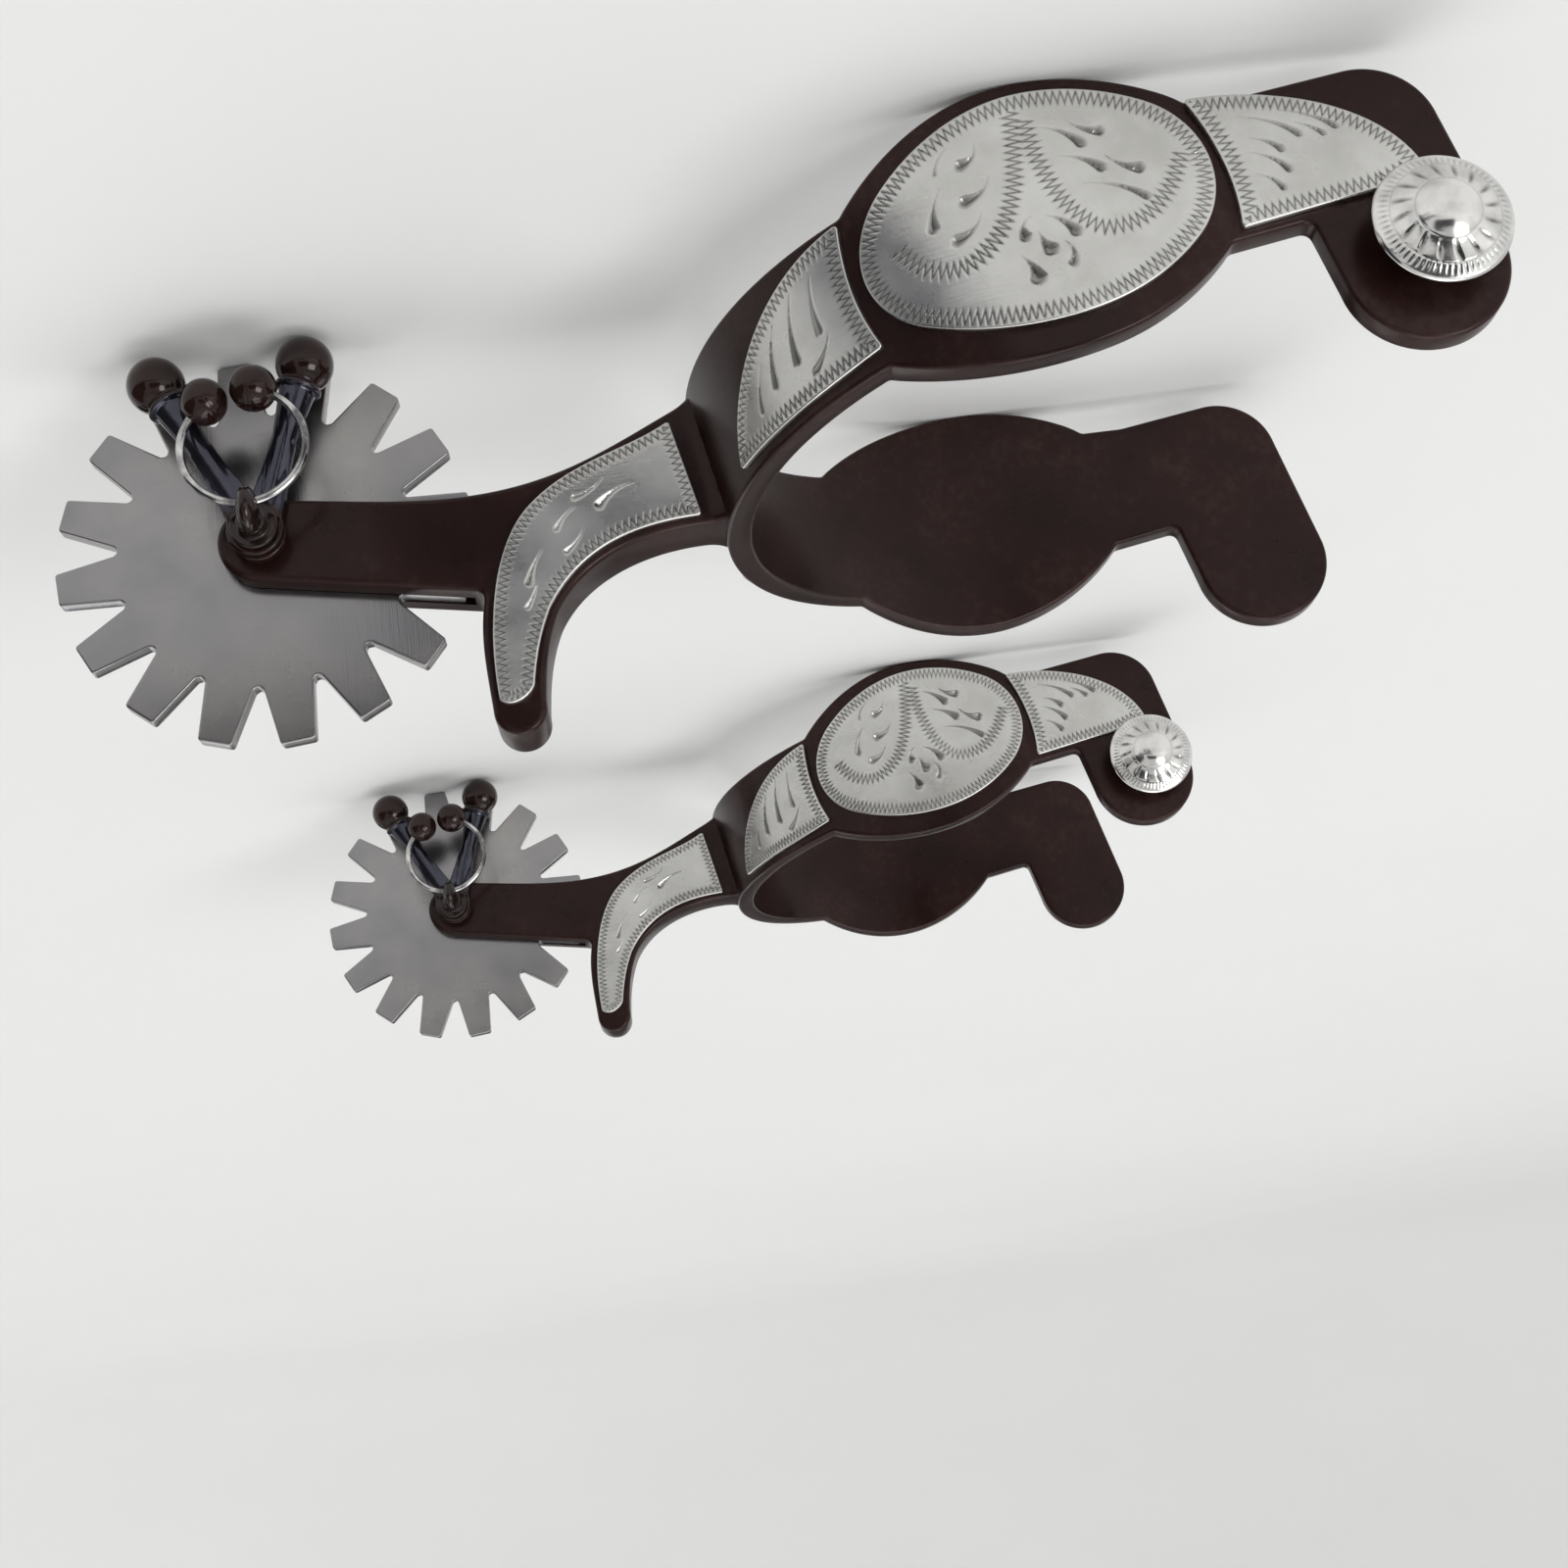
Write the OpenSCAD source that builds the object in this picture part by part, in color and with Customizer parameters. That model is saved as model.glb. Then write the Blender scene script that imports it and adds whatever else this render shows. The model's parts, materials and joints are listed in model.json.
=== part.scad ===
// A pair of western show spurs with spoked rowels, jingle bobs and engraved silver overlays.
// Each spur is drawn in its own frame first: origin at the middle of the rowel, +X towards the toe,
// +Z up as it is worn, Y across the boot. stand() then sets it down on its rowel and its two oval wings.

/* [Heel band] */
// Outside radius of the bend round the boot heel
band_r = 41.6; // [38:0.1:45]
// Thickness of the band
band_t = 3.2; // [2.5:0.1:4]
// Height of the band where it is a plain strip
band_h = 19; // [17:0.5:20]
// Distance from the rowel's middle to the back of the band
shank_reach = 54.2; // [54:0.1:56]
// Half length of the oval wing
wing_a = 23.2; // [22.8:0.1:23.6]
// Half height of the oval wing
wing_b = 16.4; // [16:0.1:17]
// Radius of the rounded tab that carries the button
tab_r = 9.2; // [9:0.1:9.5]

/* [Shank] */
// Width of the shank across the two fork arms
shank_w = 7.5; // [7:0.1:8]
// Radius of the rounded fork end
fork_r = 5.25; // [5:0.05:5.5]
// Radius of the chap guard's tip
horn_r = 3.2; // [3:0.1:3.4]

/* [Rowel] */
// Radius over the tips of the points
rowel_r = 25.4; // [24:0.1:26]
// Thickness of the rowel
rowel_t = 2; // [1.6:0.1:2.2]
// How many points the rowel has
rowel_points = 16; // [12:1:20]
// Radius of the rowel pin
pin_r = 2; // [1.8:0.05:2.2]

/* [Silver] */
// Thickness of the engraved overlays
silver_t = 0.9; // [0.6:0.1:1.2]
// Radius of the domed button
button_r = 7.6; // [7:0.1:8]
// Gap under the button for the strap leather
strap_gap = 3.6; // [3:0.1:4.5]

/* [Jingles] */
// Distance from the pin to the middle of a bob's ball
bob_reach = 23; // [22.8:0.1:23]
// Radius of a bob's ball
bob_ball_r = 3.55; // [3.4:0.05:3.55]
// Mean radius of the jingle ring
ring_r = 7.4; // [7:0.1:7.6]
// Radius of the ring's wire
wire_r = 0.5; // [0.4:0.05:0.6]
// Radius of the two small balls on the ring
ring_ball_r = 2.85; // [2.6:0.05:3]

/* [Pair] */
// Distance from one spur's rowel to the other's
pair_spacing = 180; // [120:5:240]

/* [Hidden] */
$fn = 96;
SIDES = ["left", "right"];
PIECES = ["heel_band", "shank", "guard_plate_l", "guard_plate_r", "wing_plate_l", "wing_plate_r",
          "rear_leaf_l", "rear_leaf_r", "front_leaf_l", "front_leaf_r", "button_l", "button_r",
          "button_post_l", "button_post_r", "rowel", "rowel_pin", "pin_washer", "jingle_ring",
          "ring_ball_a", "ring_ball_b", "bob_a", "bob_b"];
NODES = [for (side = SIDES) for (piece = PIECES) str(side, "_", piece)];
node = "all";

// running and fitting clearances
running_gap = 0.05;
rowel_side_gap = 0.15;

// the band: its bend is centred here, and its strip is centred at this height
bend_x = shank_reach + band_r;
band_z = 5.9;
wing_x = 92.2;
tab_x = 130.3;
tab_z = 23.6;
tab_corner_r = 8.2;
tab_corner_z = 6.9;
band_end_x = 145;
steel_brown = [0.17, 0.12, 0.11];
silver_grey = [0.78, 0.78, 0.76];
rowel_grey = [0.62, 0.62, 0.63];
bright_wire = [0.85, 0.85, 0.85];

// the shank's fork
shank_half = shank_w / 2;
slot_half = rowel_t / 2 + rowel_side_gap;
slot_r = rowel_r + 1.2;

// the rowel: a flat tip's half angle, and where a valley between two points ends
tip_half_angle = 4.7;
valley_r = 0.72 * rowel_r;
valley_half_angle = 1.9;
first_point_angle = -40.6;

// the pin's stack, from the fork's outer face outwards: bob b, bob a, then the eye
bob_t = 1.5;
stack_gap = 0.1;
bob_b_y = shank_half + stack_gap;
bob_a_y = bob_b_y + bob_t + stack_gap;
collar_y = bob_a_y + bob_t + stack_gap;
collar_t = 0.8;
collar_r = 2.9;
eye_y = collar_y + 3.35;
eye_r = 2.9;
eye_half_w = 1.2;
eye_hole_z = -1.8;
eye_hole_r = 0.85;
washer_t = 1.3;

// the bobs: eye, stem and where they hang, as angles from +X towards +Z
bob_eye_r = 3.4;
bob_lift = 0.5;
bob_a_angle = -108;
bob_b_angle = -62.3;
stem_start = 9;
stem_end = 19.3;

// the ring turns a little in the eye, and its balls sit either side of its opening
ring_turn = -10;
ball_seat_r = ring_r + 0.2;
ball_half_angle = asin((ring_ball_r + 0.15) / ball_seat_r);

// button
button_dome_h = 3.2;
button_rim_t = 0.7;
post_r = 2.6;
post_seat = 2;
button_x = 131.8;
button_z = 21.3;

// an oval's end and side arcs, set out on a 3-4-5 triangle from its half length and half height
function end_arc(a, b) = (3 * b - a) / 2;
function side_arc(a, b) = end_arc(a, b) + 2.5 * (a - b);

// how far the toe end drops when the spur stands on its rowel and its wings
wing_arc = side_arc(wing_a, wing_b);
function wing_drop(t) = wing_x * sin(t) - band_z * cos(t) + wing_arc - (wing_arc - wing_b) * cos(t);
function settle(t, n) = n == 0 ? t : settle(t + (rowel_r - wing_drop(t)) / wing_x * 57.3, n - 1);
stand_tilt = settle(9, 12);

// the standing spur's reach behind the rowel's middle and in front of it
rowel_back = max([for (i = [0 : rowel_points - 1]) for (s = [-1, 1])
    -rowel_r * cos(first_point_angle - stand_tilt + i * 360 / rowel_points + s * tip_half_angle)]);
toe_front = tab_x * cos(stand_tilt) + tab_z * sin(stand_tilt) + tab_r;

// ---- helpers -------------------------------------------------------------------------------

// points of a cubic curve
function curve(p, n = 12) = [for (i = [0 : n]) let (t = i / n, u = 1 - t)
    u * u * u * p[0] + 3 * u * u * t * p[1] + 3 * u * t * t * p[2] + t * t * t * p[3]];

// a point at a radius and angle in the XZ plane
function polar(r, a) = [r * cos(a), r * sin(a)];

// an oval of four true arcs: half length a, half height b
module oval(a, b) {
    e = end_arc(a, b);
    big = side_arc(a, b);
    meet_x = a - 0.4 * e;
    for (s = [-1, 1]) translate([s * (a - e), 0]) circle(e);
    intersection() {
        translate([0, b - big]) circle(big, $fn = 180);
        translate([0, big - b]) circle(big, $fn = 180);
        square([2 * meet_x, 2 * b + 1], center = true);
    }
}

// an outline in X and Z, given thickness from one Y to another
module slab(y0, y1) {
    translate([0, y1, 0]) rotate([90, 0, 0]) linear_extrude(y1 - y0) children();
}

// mirrors a left-hand piece to the right
module hand(s) {
    mirror([0, s > 0 ? 0 : 1, 0]) children();
}

// the band seen from above: a half ring and two straight arms
module band_plan(r) {
    intersection() {
        translate([bend_x, 0]) circle(r, $fn = 180);
        translate([bend_x - 2 * r, -r]) square([2 * r, 2 * r]);
    }
    translate([bend_x, -r]) square([band_end_x - bend_x, 2 * r]);
}

// a shell that follows the band's outside, on the left arm only
module left_skin(from_r, to_r) {
    linear_extrude(80, center = true) intersection() {
        difference() {
            band_plan(to_r);
            band_plan(from_r);
        }
        translate([shank_reach - 5, 4]) square([100, 60]);
    }
}

// ---- steel ---------------------------------------------------------------------------------

module band_side_outline() {
    translate([shank_reach - 2, band_z - band_h / 2]) square([wing_x - shank_reach, band_h]);
    translate([wing_x, band_z]) oval(wing_a, wing_b);
    translate([tab_x, tab_z]) circle(tab_r);
    translate([tab_x, tab_corner_z]) circle(tab_corner_r);
    polygon([[wing_x + 14, band_z - band_h / 2 + 0.2], [118, tab_corner_z - tab_corner_r - 0.2],
             [tab_x, tab_corner_z - tab_corner_r], [tab_x + tab_corner_r, tab_corner_z],
             [tab_x + tab_r, tab_z], [tab_x - tab_r, tab_z], [120.5, band_z + band_h / 2],
             [wing_x + 14, band_z + band_h / 2]]);
}

module heel_band() {
    color(steel_brown) difference() {
        intersection() {
            linear_extrude(80, center = true) difference() {
                band_plan(band_r);
                band_plan(band_r - band_t);
            }
            slab(-60, 60) band_side_outline();
        }
        for (s = [-1, 1]) hand(s)
            translate([button_x, band_r - post_seat, button_z]) rotate([-90, 0, 0])
                cylinder(r = post_r, h = post_seat + 1);
    }
}

// the shank from the side: fork end, drop, chap guard horn and root; it starts inside the fork's round
shank_start_r = fork_r - 0.6;
shank_lower = concat(curve([polar(shank_start_r, -70), [12, -2.1], [20, 1.6], [30, 2]]),
                     curve([[30, 2], [40, 2.4], [47, -1], [58, -3.6]]));
shank_front = concat(curve([[58, 15.4], [50, 12.2], [38, 11.8], [31.8, 19.4]]),
                     curve([[31.8, 19.4], [29.3, 23], [28.3, 26.5], [27.4, 30]]));
shank_rear = concat(curve([[21, 30], [21.6, 25], [21.8, 19], [24.2, 14.4]]),
                    [polar(shank_start_r, 118)]);

module shank_side_outline() {
    polygon(concat(shank_lower, shank_front, shank_rear, [[0, 0]]));
    circle(fork_r);
    translate([24.2, 30]) circle(horn_r);
}

// the shank from above: it flares where it is forged to the band
root_flare = curve([[52, shank_half], [54, shank_half], [55.2, 5.5], [57, 9]]);

module shank_plan() {
    half = concat([[-10, shank_half]], root_flare);
    polygon(concat(half, [for (i = [len(half) - 1 : -1 : 0]) [half[i][0], -half[i][1]]]));
}

module shank() {
    color(steel_brown) difference() {
        intersection() {
            slab(-20, 20) shank_side_outline();
            linear_extrude(100, center = true) shank_plan();
        }
        translate([bend_x, 0, 0]) cylinder(r = band_r, h = 100, center = true, $fn = 180);
        rotate([90, 0, 0]) cylinder(r = slot_r, h = 2 * slot_half, center = true);
        rotate([90, 0, 0]) cylinder(r = pin_r, h = shank_w + 2, center = true);
    }
}

module rowel() {
    color(rowel_grey) rotate([90, 0, 0]) linear_extrude(rowel_t, center = true) difference() {
        polygon([for (i = [0 : rowel_points - 1])
            let (a = first_point_angle + i * 360 / rowel_points, v = a + 180 / rowel_points)
            each [polar(rowel_r, a - tip_half_angle), polar(rowel_r, a + tip_half_angle),
                  polar(valley_r, v - valley_half_angle), polar(valley_r - 0.5, v),
                  polar(valley_r, v + valley_half_angle)]]);
        circle(pin_r + running_gap);
    }
}

// the pin is one forging with its eye; the washer at the far end is peened on
module rowel_pin() {
    color(steel_brown) {
        translate([0, collar_y, 0]) rotate([90, 0, 0])
            cylinder(r = pin_r, h = collar_y + shank_half + washer_t);
        translate([0, collar_y + collar_t, 0]) rotate([90, 0, 0]) cylinder(r = collar_r, h = collar_t);
        rotate([0, -stand_tilt, 0]) difference() {
            translate([0, eye_y - 0.2, -0.9]) rotate([0, 90, 0])
                cylinder(r = eye_r, h = 2 * eye_half_w, center = true);
            translate([0, eye_y, eye_hole_z]) rotate([0, 90, 0]) cylinder(r = eye_hole_r, h = 10, center = true);
        }
    }
}

module pin_washer() {
    color(steel_brown) translate([0, -shank_half, 0]) rotate([90, 0, 0]) difference() {
        intersection() {
            cylinder(r = 3.5, h = washer_t);
            translate([0, 0, -4.8]) sphere(6.3);
        }
        translate([0, 0, -1]) cylinder(r = pin_r, h = washer_t + 2);
    }
}

// ---- silver overlays -----------------------------------------------------------------------

guard_outer = concat(curve([[51.4, -0.4], [45.5, 2], [38, 1.2], [31.5, 5.9]]),
                     curve([[31.5, 5.9], [26, 10], [22.9, 20], [22.2, 28.6]]));
guard_inner = concat(curve([[26.6, 28], [27.4, 25.6], [28.6, 22.4], [31, 19]]),
                     curve([[31, 19], [37.4, 11.5], [46, 11.9], [51.8, 12.8]]));

module guard_plate(s) {
    color(silver_grey) hand(s) slab(shank_half, shank_half + silver_t)
        polygon(concat(guard_outer, curve([[22.2, 28.6], [23, 30], [25.5, 29.6], [26.6, 28]], 6), guard_inner));
}

module on_arm(s) {
    color(silver_grey) hand(s) intersection() {
        left_skin(band_r, band_r + silver_t);
        slab(0, 60) children();
    }
}

module wing_plate(s) {
    on_arm(s) translate([wing_x + 0.7, band_z - 0.6]) oval(19.3, 13.7);
}

module rear_leaf(s) {
    on_arm(s) polygon(concat(
        curve([[73, -2.6], [67.5, -2.2], [58.5, 1], [57.2, 13.9]]),
        curve([[57.2, 13.9], [63, 14.2], [68, 14.1], [73.2, 13.3]], 4),
        curve([[73.2, 13.3], [71.8, 8], [71.9, 3], [73, -2.6]])));
}

module front_leaf(s) {
    on_arm(s) polygon(concat(
        curve([[111.8, -2.3], [120.5, -1.6], [132.5, 3.5], [134.2, 13.2]]),
        [[129, 14.3], [112.5, 14.5]],
        curve([[112.5, 14.5], [114, 9.5], [113.6, 3], [111.8, -2.3]])));
}

module button(s) {
    base_y = band_r + strap_gap;
    dome_r = (button_r * button_r + button_dome_h * button_dome_h) / (2 * button_dome_h);
    color(silver_grey) hand(s) translate([button_x, base_y, button_z]) rotate([-90, 0, 0]) difference() {
        union() {
            cylinder(r = button_r, h = button_rim_t);
            intersection() {
                translate([0, 0, button_rim_t + button_dome_h - dome_r]) sphere(dome_r, $fn = 128);
                cylinder(r = button_r, h = 10);
            }
        }
        translate([0, 0, -1]) cylinder(r = post_r, h = 2);
    }
}

module button_post(s) {
    color(steel_brown) hand(s) translate([button_x, band_r - post_seat, button_z]) rotate([-90, 0, 0])
        cylinder(r = post_r, h = post_seat + strap_gap + 1);
}

// ---- jingles -------------------------------------------------------------------------------

// a pear-shaped bob on a flat eye, hung along +X before it is turned to its angle
module bob(y0, angle) {
    color(steel_brown) rotate([0, -angle, 0]) difference() {
        union() {
            slab(y0, y0 + bob_t) {
                circle(bob_eye_r);
                polygon([[0, -2.6], [stem_start + 3, -1.4], [stem_start + 3, 1.4], [0, 2.6]]);
            }
            translate([stem_start, y0 + bob_t / 2 + bob_lift, 0]) rotate([0, 90, 0]) {
                cylinder(r1 = 1, r2 = 2.4, h = stem_end - stem_start + 1.5);
                translate([0, 0, stem_end - stem_start]) cylinder(r = 2.85, h = 0.8);
                translate([0, 0, bob_reach - stem_start]) sphere(bob_ball_r);
            }
        }
        translate([0, y0 - 1, 0]) rotate([-90, 0, 0]) cylinder(r = pin_r + running_gap, h = bob_t + 1.6);
    }
}

// the ring and its balls, in the standing spur's frame with the ring hanging straight down
module in_eye() {
    rotate([0, -stand_tilt, 0]) translate([0, eye_y, eye_hole_z - ring_r])
        rotate([0, -ring_turn, 0]) children();
}

module jingle_ring() {
    wire_half_angle = ball_half_angle - 12;
    color(bright_wire) in_eye() rotate([90, 0, 0]) rotate([0, 0, -90 + wire_half_angle])
        rotate_extrude(angle = 360 - 2 * wire_half_angle) translate([ring_r, 0]) circle(wire_r);
}

module ring_ball(s) {
    color(steel_brown) in_eye() rotate([0, -s * ball_half_angle, 0])
        translate([0, 0, -ball_seat_r]) sphere(ring_ball_r);
}

// ---- the pair ------------------------------------------------------------------------------

module stand(side) {
    translate([(rowel_back - toe_front) / 2, side == "left" ? pair_spacing / 2 : -pair_spacing / 2, rowel_r])
        rotate([0, stand_tilt, 0]) children();
}

function wanted(side, piece) = node == "all" || node == str(side, "_", piece);

for (side = SIDES) stand(side) {
    if (wanted(side, "heel_band")) heel_band();
    if (wanted(side, "shank")) shank();
    if (wanted(side, "guard_plate_l")) guard_plate(1);
    if (wanted(side, "guard_plate_r")) guard_plate(-1);
    if (wanted(side, "wing_plate_l")) wing_plate(1);
    if (wanted(side, "wing_plate_r")) wing_plate(-1);
    if (wanted(side, "rear_leaf_l")) rear_leaf(1);
    if (wanted(side, "rear_leaf_r")) rear_leaf(-1);
    if (wanted(side, "front_leaf_l")) front_leaf(1);
    if (wanted(side, "front_leaf_r")) front_leaf(-1);
    if (wanted(side, "button_l")) button(1);
    if (wanted(side, "button_r")) button(-1);
    if (wanted(side, "button_post_l")) button_post(1);
    if (wanted(side, "button_post_r")) button_post(-1);
    if (wanted(side, "rowel")) rowel();
    if (wanted(side, "rowel_pin")) rowel_pin();
    if (wanted(side, "pin_washer")) pin_washer();
    if (wanted(side, "jingle_ring")) jingle_ring();
    if (wanted(side, "ring_ball_a")) ring_ball(1);
    if (wanted(side, "ring_ball_b")) ring_ball(-1);
    if (wanted(side, "bob_a")) bob(bob_a_y, bob_a_angle);
    if (wanted(side, "bob_b")) bob(bob_b_y, bob_b_angle);
}
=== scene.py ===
"""A pair of western show spurs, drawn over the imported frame.

Each spur is shaped in its own frame in millimetres: origin at the middle of the rowel, +X towards the toe,
+Z up as worn, Y across the boot. standing() then sets it down on its rowel and wings, as in the frame.
"""
import bpy
import json
import math
import numpy as np
from mathutils import Matrix
from mathutils.geometry import delaunay_2d_cdt


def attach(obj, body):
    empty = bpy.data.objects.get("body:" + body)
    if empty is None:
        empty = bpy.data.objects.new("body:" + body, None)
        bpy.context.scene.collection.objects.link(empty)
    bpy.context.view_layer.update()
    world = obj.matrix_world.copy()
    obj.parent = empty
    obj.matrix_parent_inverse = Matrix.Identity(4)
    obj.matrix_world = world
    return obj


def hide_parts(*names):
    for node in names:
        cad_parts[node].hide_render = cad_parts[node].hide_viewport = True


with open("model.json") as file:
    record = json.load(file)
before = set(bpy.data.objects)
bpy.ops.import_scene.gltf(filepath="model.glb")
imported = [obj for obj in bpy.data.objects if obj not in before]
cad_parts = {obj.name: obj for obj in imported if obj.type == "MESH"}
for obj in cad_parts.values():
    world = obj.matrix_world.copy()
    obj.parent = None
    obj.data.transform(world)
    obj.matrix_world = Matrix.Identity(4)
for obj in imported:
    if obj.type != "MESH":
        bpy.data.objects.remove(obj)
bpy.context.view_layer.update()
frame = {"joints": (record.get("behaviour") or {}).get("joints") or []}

# Where the rowels turn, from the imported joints, in metres.
PIN_AT = {j["name"].split("_")[0]: j["pos_m"] for j in frame["joints"] if j["name"].endswith("rowel_spin")}
SPUR_Y = {side: at[1] for side, at in PIN_AT.items()}
PIVOT_X, PIVOT_Z = PIN_AT["left"][0], PIN_AT["left"][2]

# The design's own sizes, in millimetres.
MM = 0.001
TILT = math.radians(9.14407)        # toe down, when it stands on its rowel and wings
ROWEL_R, ROWEL_T, ROWEL_POINTS = 25.4, 2.0, 16
PIN_R = 2.0
BAND_R, BAND_T = 41.6, 3.2          # outside radius of the heel bend, and the strip's thickness
BEND_X, BAND_Z, BAND_H = 95.8, 5.9, 19.0    # where the bend meets the arms, mid height, and height
SHANK_HALF, SHANK_END_R = 3.75, 5.25
SLOT_R, SLOT_W = 26.6, 2.3          # the shank's slot for the rowel
SILVER_T = 0.9
ENGRAVED_STEP = 0.15                # grid of an engraved face
CORNER_345 = math.degrees(math.atan2(4, 3))


# ---- plane curves ---------------------------------------------------------------------------

def curve(points, n=24):
    """Points of a cubic curve."""
    t = np.linspace(0, 1, n + 1)[:, None]
    a, b, c, d = (np.array(p, float) for p in points)
    u = 1 - t
    return u ** 3 * a + 3 * u * u * t * b + 3 * u * t * t * c + t ** 3 * d


def arc(cx, cz, r, a0, a1, n=24):
    """Points of an arc, in degrees."""
    a = np.radians(np.linspace(a0, a1, n + 1))
    return np.c_[cx + r * np.cos(a), cz + r * np.sin(a)]


def joined(*runs):
    """Runs of points as one loop, without repeats."""
    p = np.vstack([np.atleast_2d(np.array(r, float)) for r in runs])
    apart = np.hypot(*(p - np.roll(p, 1, 0)).T) > 0.08
    return p[apart]


def counterclockwise(loop):
    """The loop, turned round if it runs clockwise."""
    area = np.sum(loop[:, 0] * np.roll(loop[:, 1], -1) - np.roll(loop[:, 0], -1) * loop[:, 1])
    return loop if area > 0 else loop[::-1]


def fillet(a, b, c, step):
    """An arc from a to c that rounds the corner b."""
    to_a, to_c = a - b, c - b
    d = (np.linalg.norm(to_a) + np.linalg.norm(to_c)) / 2
    to_a, to_c = to_a / np.linalg.norm(to_a), to_c / np.linalg.norm(to_c)
    half = math.acos(np.clip(to_a @ to_c, -1, 1)) / 2
    middle = to_a + to_c
    centre = b + middle / np.linalg.norm(middle) * d / math.cos(half)
    start, sweep = b + to_a * d - centre, math.pi - 2 * half
    sweep *= np.sign(start[0] * (b + to_c * d - centre)[1] - start[1] * (b + to_c * d - centre)[0])
    t = np.linspace(0, 1, max(4, int(abs(sweep) * d * math.tan(half) / step) + 3))
    turn = t * sweep
    cos, sin = np.cos(turn), np.sin(turn)
    p = centre + np.c_[start[0] * cos - start[1] * sin, start[0] * sin + start[1] * cos]
    return p + (1 - t)[:, None] * (a - p[0]) + t[:, None] * (c - p[-1])


def refine(loop, step, corner_r):
    """A closed loop sampled every step, with its corners rounded."""
    ahead = np.roll(loop, -1, 0) - loop
    length = np.hypot(*ahead.T)
    s = np.r_[0, np.cumsum(length)]
    total = s[-1]
    ring = np.vstack([loop, loop[:1]])

    def at(v):
        """Points at distances v along the loop."""
        v = np.mod(v, total)
        return np.c_[np.interp(v, s, ring[:, 0]), np.interp(v, s, ring[:, 1])]

    heading = np.arctan2(ahead[:, 1], ahead[:, 0])
    turn = np.angle(np.exp(1j * (heading - np.roll(heading, 1))))
    corners = np.nonzero(np.abs(turn) > 0.3)[0]
    if not len(corners):
        return at(np.linspace(0, total, max(8, int(total / step)), endpoint=False))
    cut = []
    for k, i in enumerate(corners):
        gap_back = (s[i] - s[corners[k - 1]]) % total or total
        gap_on = (s[corners[(k + 1) % len(corners)]] - s[i]) % total or total
        cut.append(min(corner_r * math.tan(min(abs(turn[i]) / 2, 1.35)), 0.45 * gap_back, 0.45 * gap_on))
    out = []
    for k, i in enumerate(corners):
        j = corners[(k + 1) % len(corners)]
        out.append(fillet(at([s[i] - cut[k]])[0], loop[i], at([s[i] + cut[k]])[0], step))
        start = s[i] + cut[k]
        run = (s[j] - s[i]) % total or total
        run -= cut[k] + cut[(k + 1) % len(corners)]
        n = int(run / step)
        if n > 1:
            out.append(at(start + run * np.arange(1, n) / n))
    return joined(*out)


def inset(loop, d):
    """A counterclockwise loop moved inwards, or a clockwise hole moved outwards."""
    back, on = loop - np.roll(loop, 1, 0), np.roll(loop, -1, 0) - loop
    back /= np.hypot(*back.T)[:, None]
    on /= np.hypot(*on.T)[:, None]
    n = np.c_[-(back + on)[:, 1], (back + on)[:, 0]]
    n /= np.hypot(*n.T)[:, None]
    lean = np.clip((n * np.c_[-on[:, 1], on[:, 0]]).sum(1), 0.45, 1)
    return loop + n * (d / lean)[:, None]


def near(points, path, closed=True):
    """Distance to a path, how far along it the nearest point is, and which side."""
    a = path if closed else path[:-1]
    e = (np.roll(path, -1, 0) if closed else path[1:]) - a
    length = np.hypot(*e.T)
    start = np.r_[0, np.cumsum(length)[:-1]]
    d, s, side = (np.empty(len(points)) for _ in range(3))
    for i in range(0, len(points), 3000):
        r = points[i:i + 3000, None] - a[None]
        t = np.clip((r * e).sum(2) / length ** 2, 0, 1)
        gap = r - t[:, :, None] * e
        far = (gap ** 2).sum(2)
        k = far.argmin(1)
        row = np.arange(len(k))
        d[i:i + 3000] = np.sqrt(far[row, k])
        s[i:i + 3000] = start[k] + t[row, k] * length[k]
        side[i:i + 3000] = np.sign(e[k, 0] * r[row, k, 1] - e[k, 1] * r[row, k, 0])
    return d, s, side


def inside(points, loops):
    """Which points are inside the loops, by counting crossings."""
    hit = np.zeros(len(points), int)
    for loop in loops:
        a, b = loop, np.roll(loop, -1, 0)
        for i in range(0, len(points), 4000):
            x, z = points[i:i + 4000, 0:1], points[i:i + 4000, 1:2]
            spans = (a[:, 1] > z) != (b[:, 1] > z)
            with np.errstate(divide="ignore", invalid="ignore"):
                at = a[:, 0] + (z - a[:, 1]) / (b[:, 1] - a[:, 1]) * (b[:, 0] - a[:, 0])
            hit[i:i + 4000] += (spans & (x < at)).sum(1)
    return hit % 2 == 1


# ---- meshes ---------------------------------------------------------------------------------

def fill(loops, step):
    """Triangles that fill loops, with points every step inside. The loops' own points come first."""
    edge = np.vstack(loops)
    low, high = edge.min(0), edge.max(0)
    gx, gz = np.meshgrid(np.arange(low[0], high[0], step), np.arange(low[1], high[1], step * 0.866))
    gx = gx + (np.arange(len(gx)) % 2)[:, None] * step / 2
    grid = np.c_[gx.ravel(), gz.ravel()]
    grid = grid[inside(grid, loops)]
    clear = np.ones(len(grid), bool)
    for loop in loops:
        clear &= near(grid, loop)[0] > 0.55 * step
    points = np.vstack([edge, grid[clear]])
    first, faces = 0, []
    for loop in loops:
        faces.append(list(range(first, first + len(loop))))
        first += len(loop)
    made, _, tris, origin, _, _ = delaunay_2d_cdt([tuple(p) for p in points], [], faces, 2, 1e-7)
    back = np.array([o[0] for o in origin])
    if len(made) != len(points):
        raise ValueError("a filled outline crosses itself")
    tris = back[np.array(tris)]
    a, b, c = (points[tris[:, i]] for i in range(3))
    turned = np.cross(b - a, c - a) < 0
    tris[turned] = tris[turned][:, ::-1]
    return points, tris


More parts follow.
